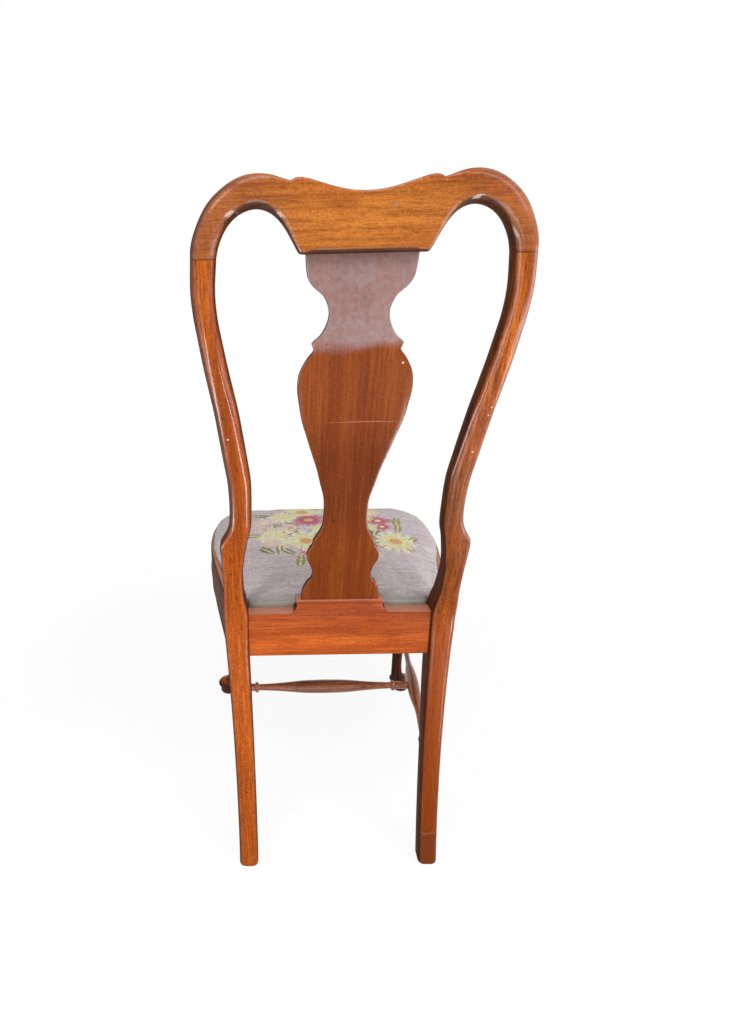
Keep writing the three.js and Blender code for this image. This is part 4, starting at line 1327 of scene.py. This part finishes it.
mended_knocks = [
    (-162, 762, 1.6, (0.7, 0.55, 0.4)), (-160, 752, 1.4, (0.7, 0.55, 0.4)),
    (-150, 702, 1.7, (0.7, 0.55, 0.4)),
]


def clouded(value, scale, reach):
    """A value with a ragged edge added to it"""
    return value + value.nodes.place().noise(scale) * reach


def marked(colour, knocks):
    """Small knocks in the back of a piece"""
    for x, z, radius, tint in knocks:
        away = colour.nodes.place().vector("SUBTRACT", (x * MM, 0, z * MM))
        far = away.vector("MULTIPLY", (1, 0, 1)).length()
        colour = colour.layered((far, radius * MM, 0.5 * radius * MM, 0.85, tint))
    return colour


def joint_line(colour, share=1.0):
    """Dark line of the joint between a post and the crest's arm"""
    apart = abs(colour.nodes.millimetres(2) - crest_joint)
    return colour.mix(apart.between(*joint_half_width, 0.0, 0.85) * share, joint_dark)


def reddened_arms(colour):
    """The crest's arms are redder and darker than its middle"""
    across = abs(colour.nodes.millimetres(0))
    redder = clouded(across, 30.0, 60.0).between(*redder_from)
    colour = colour.mix(redder, (0.77, 0.71, 1.1), "MULTIPLY")
    browner = clouded(across, 40.0, 60.0).between(*browner_from)
    colour = colour.mix(browner, (0.94, 0.92, 1.0), "MULTIPLY")
    colour = joint_line(colour, across.between(*arm_joint_from))
    up = clouded(colour.nodes.millimetres(2), 20.0, 20.0)
    return marked(colour.layered((up, *crest_foot_from, 0.4, golden_dark)), crest_knocks)


def sheen_and_scratches(colour):
    """A painted sheen over the upper part of the splat, which is also scratched"""
    place = colour.nodes.place()
    up = colour.nodes.millimetres(2)
    share = clouded(up, 22.0, 34.0).between(*painted_sheen_from, 0.0, 0.5)
    share = share * place.noise(150.0, 4.0, 0.7).between(0.3, 0.7, 0.75, 1.2)
    share = share * place.noise(22.0, 4.0, 0.65).between(0.35, 0.65, 0.85, 1.12)
    # painted sheen laid over the upper part of the splat
    colour = colour.mix(share, painted_sheen)
    neck = abs(up - neck_height).between(*neck_reach)
    colour = colour.mix(neck, (0.76, 0.72, 0.7), "MULTIPLY")
    line = abs(clouded(up, 12.0, 3.0) - scratch_height)
    middle = abs(clouded(colour.nodes.millimetres(0), 60.0, 30.0))
    scratch = line.between(*scratch_half_width, 0.0, 0.5)
    scratch = scratch * middle.between(*scratch_reach, 0.1, 1.0)
    return marked(colour.mix(scratch, (0.6, 0.3, 0.2)), splat_knocks)


def knocked(colour):
    """One rear post has a few knocks, and its painted light is kept whole beside the rail and
    toned down higher up
    """
    high = colour.nodes.millimetres(2).between(*post_bright_below)
    colour = colour.mix(high, (0.66, 0.59, 0.34), "MULTIPLY")
    return marked(joint_line(colour), post_knocks)


def mended_foot(colour):
    """The lowest part of one rear leg is browner, with a ragged upper edge"""
    up = colour.nodes.millimetres(2)
    brown = clouded(up, 9.0, 120.0)
    colour = joint_line(colour).layered((brown, *mended_brown_below, 0.6, walnut_dark))
    bend = abs(up - bend_height).between(*bend_reach)
    colour = colour.mix(bend, (0.7, 0.72, 0.75), "MULTIPLY")
    ragged = clouded(up, 160.0, 16.0)
    colour = colour.layered(
        (ragged, *mend_top, 0.8, (0.21, 0.047, 0.015)),
        (abs(ragged - mend_seam), *seam_half_width, 0.3, (0.5, 0.25, 0.13)),
    )
    return marked(colour, mended_knocks)


def rail_top_reflection(colour):
    """Paler on its top, a painted reflection, and darker just under it"""
    high = clouded(colour.nodes.millimetres(2), 14.0, 40.0).between(*rail_dark_from)
    colour = colour.mix(high, (0.66, 0.6, 0.8), "MULTIPLY")
    # painted reflection on the faces that look up
    return colour.layered((facing(colour.nodes)[2], 0.6, 0.9, 0.6, (0.53, 0.28, 0.205)))


def rim_top_reflection(colour):
    """The rim of the seat is painted pale on its top beside the cushion, a painted reflection"""
    # painted reflection on the faces that look up
    return colour.layered((facing(colour.nodes)[2], 0.4, 0.8, 0.6, (0.46, 0.28, 0.17)))


# Cloth and steel

def plain_cloth(name, light, dark, pitch):
    """Plain weave of a hidden cloth"""
    nodes = new_material(name)
    x, y, _ = nodes.place().parts()
    turns = 2 * math.pi / pitch
    weave = (x * turns).math("SINE") * (y * turns).math("SINE")
    colour = nodes.mix(weave.between(-0.7, 0.7), dark, light)
    colour = colour.layered((nodes.place().noise(160.0), 0.4, 0.8, 0.4, dark))
    return nodes.surface({"Base Color": colour, "Roughness": 0.9}, weave, weave_relief, 0.6)


def steel():
    nodes = new_material("screw_steel")
    speck = nodes.place().noise(900.0, 4.0)
    colour = nodes.mix(speck.between(0.3, 0.7), (0.36, 0.35, 0.33), (0.55, 0.54, 0.52))
    look = {"Base Color": colour, "Metallic": 1.0, "Roughness": speck.between(0.3, 0.7, 0.3, 0.5)}
    return nodes.surface(look, speck, steel_relief, 0.4)


# Needlepoint: rows of slanted stitches, with a bunch of flowers of no
# particular kind laid out over the middle of the seat. Places on the canvas
# are millimetres in plan, and the sides are rolled out flat round the top.

stitch = (2.0, 2.4, 1.0)
cream = (0.88, 0.84, 0.64)
yellow = (0.88, 0.8, 0.38)
ochre = (0.74, 0.43, 0.17)
pale_pink = (0.88, 0.64, 0.6)
pink = (0.72, 0.23, 0.33)
crimson = (0.57, 0.075, 0.15)
olive = (0.34, 0.32, 0.15)
moss = (0.22, 0.23, 0.115)
canvas_grey = (0.75, 0.63, 0.66)
canvas_rear = (0.7, 0.64, 0.64)
# Dark tint for the painted shade at the seat's rear edge, and for the rows of stitches
rear_shade_and_row_tint = (0.29, 0.28, 0.24)

rear_from = (-150.0, -50.0)
rear_shade_from = (-56.0, -28.0)
bouquet_centre = (-10, -234)
bouquet_reach = (146, 132)
leaf_vein = 1.4

# Layers of the bouquet: kind, pitch, shift, reach and the share that is shown
bouquet_layers = [
    ("leaf", 46, (13, 7), 1.02, 1.0), ("leaf", 38, (31, 22), 0.94, 1.0),
    ("flower", 44, (36, 41), 0.92, 0.7), ("flower", 58, (52, 20), 0.84, 0.8),
    ("flower", 76, (5, 11), 0.86, 0.75), ("flower", 34, (17, 3), 0.9, 0.3),
]

rim_stops = [(0.0, cream), (0.24, pale_pink), (0.44, pink), (0.6, cream), (0.82, yellow)]
within_stops = [(0.0, yellow), (0.24, pale_pink), (0.44, crimson), (0.6, yellow), (0.82, cream)]
heart_stops = [(0.0, yellow), (0.35, ochre), (0.55, yellow), (0.8, ochre)]
leaf_stops = [(0.0, olive), (0.5, moss)]

scatter_inputs = {
    "Ground": "Color", "Place": "Vector", "Shift": "Vector", "Pitch": "Float", "Reach": "Float",
    "Shown": "Float",
}


def new_group(name):
    """An empty node group that turns a ground colour into another, and its inputs"""
    tree = bpy.data.node_groups.new(name, "ShaderNodeTree")
    tree.interface.new_socket("Colour", in_out="OUTPUT", socket_type="NodeSocketColor")
    for label, kind in scatter_inputs.items():
        tree.interface.new_socket(label, in_out="INPUT", socket_type="NodeSocket" + kind)
    nodes = Nodes(tree)
    outputs = tree.nodes.new("NodeGroupInput").outputs
    return nodes, {label: Value(nodes, outputs[label]) for label in scatter_inputs}


def end_group(colour):
    nodes = colour.nodes
    nodes.put(nodes.tree.nodes.new("NodeGroupOutput").inputs[0], colour)
    return nodes.tree


def scattered(nodes, source):
    """The nearest of many scattered middles: the way from it, three chances,
    and whether it lies within the bouquet"""
    shifted = source["Place"].vector("ADD", source["Shift"])
    cells = nodes.add("TexVoronoi", {
        "Vector": shifted.scaled(1.0 / source["Pitch"]), "Scale": 1.0, "Randomness": 0.8,
    }, "Position", voronoi_dimensions="2D", feature="F1")
    middle = cells.scaled(source["Pitch"]).vector("SUBTRACT", source["Shift"])
    chances = cells.output("Color").parts("SeparateColor")
    far = middle.vector("SUBTRACT", (*bouquet_centre, 0)).vector("DIVIDE", (*bouquet_reach, 1))
    within = far.length().below(source["Reach"])
    return source["Place"].vector("SUBTRACT", middle), chances, within


def flower_group():
    nodes, source = new_group("blossoms")
    apart, (kind, size, count), within = scattered(nodes, source)
    x, y, _ = apart.parts()
    share = apart.length() / (source["Pitch"] * size.between(0.0, 1.0, 0.4, 0.58))
    petals = count.between(0.0, 1.0, 13.0, 20.0).math("FLOOR")
    around = y.math("ARCTAN2", x) / (2 * math.pi) * petals
    wave = abs((around * math.pi).math("COSINE"))
    petal = (around + 0.5).math("FLOOR")
    long = nodes.add("TexWhiteNoise", {"W": petal + petals}, "Value", noise_dimensions="1D")
    tip = wave.between(0.2, 0.9, 0.66, 1.0) * long.between(0.0, 1.0, 0.8, 1.08)
    gap = share.between(0.35, 1.0, -0.2, 0.6)
    mask = share.below(tip) * within * count.below(source["Shown"]) * gap.below(wave)
    tint = nodes.mix(share.between(0.3, 0.85), kind.ramp(within_stops), kind.ramp(rim_stops))
    tint = tint.mix(share.below(0.25), size.ramp(heart_stops))
    return end_group(source["Ground"].mix(mask, tint))


def leaf_group():
    nodes, source = new_group("leaves")
    apart, (kind, _, turn), within = scattered(nodes, source)
    inputs = {"Vector": apart, "Angle": turn * (2 * math.pi)}
    x, y, _ = nodes.add("VectorRotate", inputs, rotation_type="Z_AXIS").parts()
    along = x / (source["Pitch"] * 0.62)
    room = (1.0 - along * along) * (source["Pitch"] * 0.17)
    side = abs(y)
    tint = nodes.mix(side.below(leaf_vein), kind.ramp(leaf_stops), yellow)
    return end_group(source["Ground"].mix(side.below(room) * within, tint))


def bouquet(ground, place):
    """Leaves below, then larger and smaller flowers over them"""
    groups = {"leaf": leaf_group(), "flower": flower_group()}
    for kind, pitch, shift, reach, shown in bouquet_layers:
        ground = ground.nodes.add("Group", {
            "Ground": ground, "Place": place, "Shift": (*shift, 0), "Pitch": pitch,
            "Reach": reach, "Shown": shown,
        }, node_tree=groups[kind])
    return ground


def needlepoint():
    nodes = new_material("needlepoint")
    place = nodes.add("Attribute", out="Vector", attribute_name="canvas_place")
    counted = place.vector("DIVIDE", stitch)
    cell = counted.vector("FLOOR")
    centre = cell.vector("MULTIPLY_ADD", stitch, shaded(stitch, 0.5))
    x, y, _ = counted.vector("SUBTRACT", cell).vector("SUBTRACT", (0.5, 0.5, 0.5)).parts()
    along = x + y
    across = x - y
    mound = (along * (along * 0.7) + across * (across * 1.9)).between(0.0, 0.75, 1.0, 0.0)
    chance = nodes.add("TexWhiteNoise", {"Vector": cell}, "Value", noise_dimensions="2D")
    cloud = nodes.place().noise(11.0).between(0.35, 0.7, 0.0, 0.35)
    rear = centre.parts()[1]
    row = place.vector("MULTIPLY", (0.02, 0.22, 0.0)).noise(1.0, 2.0)
    ground = nodes.mix(cloud, canvas_grey, canvas_rear).layered(
        # painted shade along the seat's rear edge, where it meets the rail
        (rear, *rear_from, 0.5, canvas_rear), (rear, *rear_shade_from, 0.8, rear_shade_and_row_tint),
        (row, 0.4, 0.65, 0.35, rear_shade_and_row_tint),
    )
    # random darker stitches, and painted shade in the gaps between the stitch mounds
    colour = bouquet(ground, centre).layered(
        (chance, 0.0, 1.0, 0.32, (0.16, 0.14, 0.14)), (mound, 0.5, 0.0, 0.3, (0.12, 0.1, 0.1)),
    )
    look = {"Base Color": colour, "Roughness": 0.95, "IOR": 1.3, "Sheen Weight": 0.12}
    return nodes.surface(look, mound, stitch_relief, 0.5)


finishes = {
    "upright": wood("walnut_upright", 2, lit_post_light, lit_post_dark, 0.0, knocked, 0.65, 0.5),
    "mended": wood("walnut_mended", 2, walnut_light, walnut_dark, 0.23, mended_foot, 0.7, 0.6),
    # the front legs take the painted shade all round but their tops
    "front": wood(
        "walnut_front", 2, walnut_light, walnut_dark, 0.37, None, 0.5, 0.4, lit_range=(1.5, 2.0),
    ),
    "turned": wood(
        "walnut_turned", 0, turned_light, turned_dark, 0.71, None, 0.5, 0.4, lit_range=None,
    ),
    "turned_deep": wood(
        "walnut_turned_deep", 1, side_turned_light, side_turned_dark, 0.19, None, 0.5, 0.4,
        lit_range=None,
    ),
    "crest": wood("walnut_crest", 0, golden_light, golden_dark, 0.31, reddened_arms, 0.4, 0.35),
    "across": wood("walnut_across", 0, reddish_light, reddish_dark, 0.47, rail_top_reflection, 0.45, 0.35),
    "deep": wood(
        "walnut_deep", 1, walnut_light, walnut_dark, 0.57, rim_top_reflection, 0.6, lit_range=(0.8, 0.95),
    ),
    "splat": wood("walnut_splat", 2, splat_light, splat_dark, 0.83, sheen_and_scratches, 0.1, 0.4, 0.02),
    "plain": wood("plain_wood", 1, plain_light, plain_dark, 0.11),
    "jute": plain_cloth("jute_webbing", (0.5, 0.38, 0.22), (0.3, 0.21, 0.11), 0.004),
    "deck": plain_cloth("deck_canvas", (0.6, 0.5, 0.34), (0.42, 0.33, 0.2), 0.0022),
    "cambric": plain_cloth("black_cambric", (0.03, 0.03, 0.03), (0.012, 0.012, 0.012), 0.0016),
    "wadding": plain_cloth("cotton_wadding", (0.82, 0.77, 0.65), (0.68, 0.62, 0.5), 0.007),
    "needlepoint": needlepoint(),
    "steel": steel(),
}

# The wooden pieces

CHAIR = "chair_frame"
SEAT = "drop_in_seat"


def middle_piece(obj, finish, node):
    finish_piece(obj, CHAIR, finish, node)


def both_sides(obj, finish, node, other_finish=None):
    """Finish a left piece and its mirrored right one"""
    twin = copy_of(obj, f"right_{node}_visual")
    twin.data.transform(Matrix.Scale(-1, 4, Vector((1, 0, 0))))
    twin.data.flip_normals()
    finish_piece(obj, CHAIR, finish, f"left_{node}")
    finish_piece(twin, CHAIR, other_finish or finish, f"right_{node}")


def wooden_frame():
    both_sides(rear_post(), "upright", "rear_post", "mended")
    crest = crest_rail()
    combine(crest, splat_space(), "DIFFERENCE")
    middle_piece(crest, "crest", "crest_rail")
    middle_piece(splat(), "splat", "splat")
    middle_piece(splat_shoe(), "across", "splat_shoe")
    middle_piece(rear_rail(), "across", "rear_seat_rail")
    ring = rail_ring()
    drum = seat_drum()
    both_sides(side_rail(ring), "deep", "side_seat_rail")
    middle_piece(front_rail(ring), "across", "front_seat_rail")
    both_sides(front_leg(drum), "front", "front_leg")
    bpy.data.objects.remove(ring)
    bpy.data.objects.remove(drum)
    front, side = knee_brackets()
    both_sides(front, "across", "front_knee_bracket")
    both_sides(side, "deep", "side_knee_bracket")
    both_sides(side_stretcher(), "turned_deep", "side_stretcher")
    middle_piece(medial_stretcher(), "turned", "medial_stretcher")


wooden_frame()

# The drop-in seat

seat_rear = -(rear_rail_setback + rear_rim + seat_gap)
seat_notch = -(post_depth + seat_gap)
seat_notch_x = post_face - seat_gap
cover_bottom = ledge + glue_line
underside_band = 1
cushion_foot = 6
cushion_side = [(0.8, 0.0), (1.6, 0.6), (3.5, 0.95), (6.5, 1.0)]
overhang = 10.5
overhang_ease = (110, 225)
rear_lift = 0.8
rear_lift_ease = (-110, -40)
top_inset = 1.5
top_bulge_share = 0.8
crown_rings = 27
crown_spacing = 1.4
crown_reach = 0.97
edge_blend = 6
remesh_step = 5.0
swell_limit = 4.5
swell_frames = 20
held_height = rail_top - 1
frame_top = ledge + 14.2
frame_grip = 2
shoulder_top = frame_top + 8
side_reach = 9.0
seat_net = 12.0
canvas_edge_inset = 4.0
canvas_edge_step = 8.0
sheet_edge_step = 8.0
sheet_net = 9.0
sag_ease = (4, 120)
dust_height = ledge + 1.6
dust_sag = 3.0
dust_thickness = 0.5
deck_inset = 3.5
deck_height = ledge + 17.9
deck_thickness = 0.7
cloth_settings = {
    "quality": 5, "mass": 0.3, "vertex_group_mass": "held", "use_pressure": True,
    "uniform_pressure_force": 4.0,
}


def seat_outline(inset, step=6.0):
    """Plan of the seat, with its rear corners cut round the posts"""
    line = [p for p in plan_line(rim + seat_gap + inset) if p.y <= seat_notch - inset]
    notch_x = seat_notch_x - inset
    rear = seat_rear - inset
    notch_y = seat_notch - inset
    corners = [
        Vector((-line[0].x, notch_y)), Vector((-notch_x, notch_y)), Vector((-notch_x, rear)),
        Vector((notch_x, rear)), Vector((notch_x, notch_y)), Vector((line[0].x, notch_y)),
    ]
    outline = []
    for a, b in zip(corners, corners[1:]):
        outline += respaced([a, b], step)[:-1]
    return outline + respaced([corners[-1], *line, corners[0]], step)[:-1]


def seat_form(name):
    """Closed form of the stuffed seat, from its flat underside to its crown"""
    outline = seat_outline(0.0)
    bulge = [overhang * smoothstep(-point.y, *overhang_ease) for point in outline]
    lift = [lerp(1.0, rear_lift, smoothstep(point.y, *rear_lift_ease)) for point in outline]
    heights = (cover_bottom, rail_top - cushion_foot, rail_top)
    rings = [level_ring(outline, z) for z in heights]
    for rise, share in cushion_side:
        ring = offset_ring(outline, [-share * far for far in bulge])
        rings.append([Vector((p.x, p.y, rail_top + rise * up)) for p, up in zip(ring, lift)])
    centre_y = -cushion_centre_share * seat_depth
    top = offset_ring(outline, [top_inset - far * top_bulge_share for far in bulge])
    for k in range(crown_rings + 1):
        share = 1 - (k / crown_rings) ** crown_spacing * crown_reach
        rise = crown_rise * max(1 - share ** crown_power, 0) ** shoulder_power
        rings.append([
            Vector((
                p.x * share, lerp(centre_y, p.y, share),
                rail_top + cushion_edge * lerp(1, up, share ** edge_blend) + rise,
            ))
            for p, up in zip(top, lift)
        ])
    return loft(name, rings)


def swelled(obj):
    """Let the form fill like a stuffed seat while its frame holds it below"""
    start = [vertex.co.copy() for vertex in obj.data.vertices]
    group = obj.vertex_groups.new(name="held")
    held = [v.index for v in obj.data.vertices if v.co.z < held_height * MM]
    group.add(held, 1.0, "ADD")
    settings = obj.modifiers.new("cloth", "CLOTH").settings
    for key, value in cloth_settings.items():
        setattr(settings, key, value)
    settings.effector_weights.gravity = 0.0
    for step in range(1, swell_frames + 1):
        scene.frame_set(step)
    graph = bpy.context.evaluated_depsgraph_get()
    moved = [vertex.co.copy() for vertex in obj.evaluated_get(graph).data.vertices]
    obj.modifiers.clear()
    obj.vertex_groups.clear()
    scene.frame_set(1)
    limit = swell_limit * MM
    for vertex, old, new in zip(obj.data.vertices, start, moved):
        way = new - old
        vertex.co = old + (way * (limit / way.length) if way.length > limit else way)


def nearest_on(outline, x, y):
    """Closest point of an outline, and whether a place lies inside it"""
    best = None
    inside = False
    for a, b in zip(outline, outline[1:] + outline[:1]):
        span = b - a
        t = clamp(((x - a.x) * span.x + (y - a.y) * span.y) / span.length_squared, 0, 1)
        px = a.x + span.x * t
        py = a.y + span.y * t
        far = (px - x) ** 2 + (py - y) ** 2
        if best is None or far < best[0]:
            best = (far, px, py)
        if (a.y > y) != (b.y > y) and x < a.x + (y - a.y) / span.y * span.x:
            inside = not inside
    return math.sqrt(best[0]), best[1], best[2], inside


def within_rabbet(outline, x, y):
    """A place, or the nearest one to it inside the rabbet"""
    _, near_x, near_y, inside = nearest_on(outline, x, y)
    return (x, y) if inside else (near_x, near_y)


def against_frame(outline, x, y, z):
    """A place on the cushion's side, held upright round the seat frame"""
    far, near_x, near_y, inside = nearest_on(outline, x, y)
    if inside and far > side_reach:
        return x, y
    share = 1 - smoothstep(z, frame_top + frame_grip, shoulder_top)
    if not inside:
        share = 1 if z < rail_top + glue_line else 0
    return lerp(x, near_x, share), lerp(y, near_y, share)


def kept_clear(obj, inset=0.0):
    """Hold the seat off the posts, the rear rail's rim and the rabbet"""
    rear = seat_rear - inset
    notch = seat_notch - inset
    notch_x = seat_notch_x - inset
    outline = seat_outline(inset, seat_net)
    for vertex in obj.data.vertices:
        point = vertex.co / MM
        y = min(point.y - back_offset, rear)
        x = point.x
        if y > notch and abs(x) > notch_x:
            if abs(x) - notch_x < y - notch:
                x = math.copysign(notch_x, x)
            else:
                y = notch
        if point.z <= cover_bottom + underside_band:
            x, y = within_rabbet(outline, x, y)
        elif point.z < shoulder_top:
            x, y = against_frame(outline, x, y, point.z)
        vertex.co = Vector((x, y + back_offset, max(point.z, cover_bottom))) * MM
    obj.data.update()


def open_underside(obj):
    """Take away the underside within the lip that is turned in under the frame"""
    outline = seat_outline(0.0, seat_net)
    low = (cover_bottom + underside_band) * MM

    def opened(body):
        gone = []
        for face in body.faces:
            x, y, z = face.calc_center_median()
            if z < low and nearest_on(outline, x / MM, y / MM - back_offset)[0] > cover_lip:
                gone.append(face)
        bmesh.ops.delete(body, geom=gone, context="FACES")

    edit_mesh(obj.data, opened)


def lay_canvas(obj):
    """Note each point's place on the canvas, with the sides rolled out flat"""
    outline = seat_outline(canvas_edge_inset, canvas_edge_step)
    shoulder = rail_top + cushion_edge
    places = obj.data.attributes.new("canvas_place", "FLOAT_VECTOR", "POINT")
    for i, vertex in enumerate(obj.data.vertices):
        x = vertex.co.x / MM
        y = vertex.co.y / MM - back_offset
        below = shoulder - vertex.co.z / MM
        if below > 0:
            far, px, py, inside = nearest_on(outline, x, y)
            away = Vector((x - px, y - py)) * (-1 if inside else 1)
            if away.length > 0.01:
                away.normalize()
                x = px + away.x * (below + far)
                y = py + away.y * (below + far)
        places.data[i].vector = (x, y, 0)


def stuffed_seat():
    """Needlepoint cover and the stuffing inside it"""
    form = seat_form("needlepoint_cover")
    modify(form, "REMESH", mode="VOXEL", voxel_size=remesh_step * MM)
    swelled(form)
    modify(form, "SMOOTH", factor=0.5, iterations=6)
    modify(form, "SUBSURF", levels=1, render_levels=1)
    kept_clear(form)
    stuffing = copy_of(form, "seat_stuffing")
    open_underside(form)
    lay_canvas(form)
    modify(form, "SOLIDIFY", thickness=cover_thickness * MM, offset=-1.0)
    finish_piece(form, SEAT, "needlepoint", "seat_cover")
    shrink = cover_thickness + glue_line
    normals = [vertex.normal.copy() for vertex in stuffing.data.vertices]
    for vertex, normal in zip(stuffing.data.vertices, normals):
        vertex.co -= normal * (shrink * MM)
    kept_clear(stuffing, shrink)
    cut(stuffing, (0, 0, pad_bottom), (0, 0, -1))
    finish_piece(stuffing, SEAT, "wadding", "seat_padding")


def stretched_sheet(name, node, inset, height, sag, thickness, finish):
    """A thin cloth tacked out flat under or over the seat frame"""
    outline = seat_outline(inset, sheet_edge_step)
    net, triangles = filled(outline, sheet_net)
    points = []
    for p in net:
        far = nearest_on(outline, p.x, p.y)[0]
        points.append(Vector((p.x, p.y, height - sag * smoothstep(far, *sag_ease))))
    area = sum(
        abs((net[b] - net[a]).cross(net[c] - net[a])) / 2 for a, b, c in triangles
    ) * MM * MM
    obj = make_object(name, points, triangles)
    modify(obj, "SOLIDIFY", thickness=thickness * MM, offset=0.0)
    finish_piece(obj, SEAT, finish, node)
    xs = [p.x for p in net]
    ys = [p.y for p in net]


stuffed_seat()
stretched_sheet(
    "dust_cover_cloth", "seat_dust_cover", cover_lip + 1, dust_height, dust_sag, dust_thickness,
    "cambric",
)
stretched_sheet(
    "deck_canvas_cloth", "seat_deck_cloth", deck_inset, deck_height, 0.0, deck_thickness,
    "deck",
)

# Pieces that keep the shape of their solids

kept_kinds = {"corner_block": "plain", "seat_frame": "plain", "screw": "steel", "seat_web": "jute"}

for name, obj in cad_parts.items():
    for part, finish in kept_kinds.items():
        if part in name:
            set_material(obj, finish)

# Camera, floor and light: the camera is placed in millimetres, the rest in metres

camera_place = (116.42, 842.47, 948.60)
camera_yaw = -0.014846
camera_pitch = 0.361477
camera_roll = -0.024691
focal_length = 649.98
image_centre = (250.4665, 491.6679)
image_width = 742
image_height = 1024
sensor_width = 36.0
white = (1, 1, 1)
ambient_level = 0.28
near_glow = 0.9
far_glow = 0.975
glow_reach = (0.5, 1.9)
floor_half = 30.0

# Lamps: name, place, the point aimed at (none for a patch of the ground, which
# shines straight up), width, height (none for a round lamp) and power
lamps = [
    ("key", (-1.7, 1.8, 2.2), (0, 0, 0.6), 2.0, None, 39),
    ("fill", (1.4, 1.7, 2.2), (0, 0, 0.6), 1.0, None, 15),
    ("card_right", (-0.54, 1.1, 0.02), None, 0.22, 1.3, 18),
    ("card_left", (1.06, 1.0, 0.02), None, 0.26, 1.3, 21),
    ("overhead", (0.1, 1.1, 2.8), (0, 0, 0.5), 1.6, None, 30),
    ("low_left", (0.9, 1.6, 0.35), (0, 0, 0.4), 0.6, None, 5.5),
    ("ground_behind", (0.15, 2.2, 0.02), None, 0.55, 2.8, 20),
    ("ground_right", (-2.1, 1.0, 0.02), None, 1.4, 2.0, 44),
    ("ground_left", (1.4, 0.75, 0.02), None, 1.2, 0.7, 8.5),
    ("window_right", (-1.9, 0.1, 0.55), (0, 0, 0.7), 1.1, 0.7, 9),
]
only_mirrored = ("card_right", "card_left")


def make_camera():
    level = math.cos(camera_pitch)
    along = Vector((
        -math.sin(camera_yaw) * level, -math.cos(camera_yaw) * level, -math.sin(camera_pitch),
    ))
    right = along.cross(Vector((0, 0, 1))).normalized()
    up = right.cross(along)
    turned_right = right * math.cos(camera_roll) + up * math.sin(camera_roll)
    turned_up = up * math.cos(camera_roll) - right * math.sin(camera_roll)
    data = bpy.data.cameras.new("camera")
    data.sensor_width = sensor_width
    data.sensor_fit = "AUTO"
    data.lens = focal_length / image_height * sensor_width
    data.shift_x = (image_width / 2 - image_centre[0]) / image_height
    data.shift_y = (image_centre[1] - image_height / 2) / image_height
    camera = linked("camera", data)
    turn = Matrix((turned_right, turned_up, -along)).transposed().to_4x4()
    camera.matrix_world = Matrix.Translation(to_frame(camera_place)) @ turn
    scene.camera = camera


def seen_share(nodes):
    """One where the eye or the polish sees a surface, none where it only gives light"""
    path = nodes.add("LightPath", out="Is Camera Ray")
    return path.most(path.output("Is Glossy Ray"))


def make_floor():
    """White ground that glows where it is seen and is dull where it gives light"""
    mesh = bpy.data.meshes.new("floor")
    corners = [(-1, -1), (1, -1), (1, 1), (-1, 1)]
    points = [(x * floor_half, y * floor_half, 0) for x, y in corners]
    mesh.from_pydata(points, [], [(0, 1, 2, 3)])
    floor = linked("floor", mesh)
    nodes = new_material("white_floor")
    seen = seen_share(nodes)
    speck = nodes.place().noise(3.0, 2.0, 0.5)
    dull = nodes.mix(speck, (0.16, 0.15, 0.14), (0.18, 0.17, 0.16))
    shown = nodes.mix(speck, (0.1, 0.1, 0.1), (0.11, 0.11, 0.11))
    level = nodes.place().length().between(*glow_reach, near_glow, far_glow)
    paint = nodes.add("BsdfDiffuse", {"Color": nodes.mix(seen, dull, shown)})
    glow = nodes.add("Emission", {"Color": white, "Strength": seen * level})
    nodes.add("OutputMaterial", {0: nodes.add("AddShader", {0: paint, 1: glow})})
    mesh.materials.append(nodes.material)


def make_world():
    """Even light from all round, and plain white where it is seen"""
    world = bpy.data.worlds.new("world")
    world.use_nodes = True
    scene.world = world
    nodes = Nodes(world.node_tree)
    through = nodes.add("LightPath", out="Is Transmission Ray")
    level = seen_share(nodes).most(through).between(0.0, 1.0, ambient_level, 1.0)
    nodes.add("OutputWorld", {0: nodes.add("Background", {"Color": white, "Strength": level})})


def area_light(name, place, aim, wide, high, power):
    """A round lamp, or a bright opening or patch of the ground"""
    data = bpy.data.lights.new(name, "AREA")
    data.shape = "RECTANGLE" if high else "DISK"
    data.size = wide
    data.size_y = high or wide
    data.energy = power
    light = linked(name, data)
    light.visible_camera = False
    light.visible_diffuse = name not in only_mirrored
    turn = Matrix.Rotation(math.pi, 4, "X")
    if aim:
        turn = (Vector(aim) - Vector(place)).to_track_quat("-Z", "Y").to_matrix().to_4x4()
    light.matrix_world = Matrix.Translation(place) @ turn


make_camera()
make_floor()
make_world()
for lamp in lamps:
    area_light(*lamp)
scene.view_settings.view_transform = "Standard"
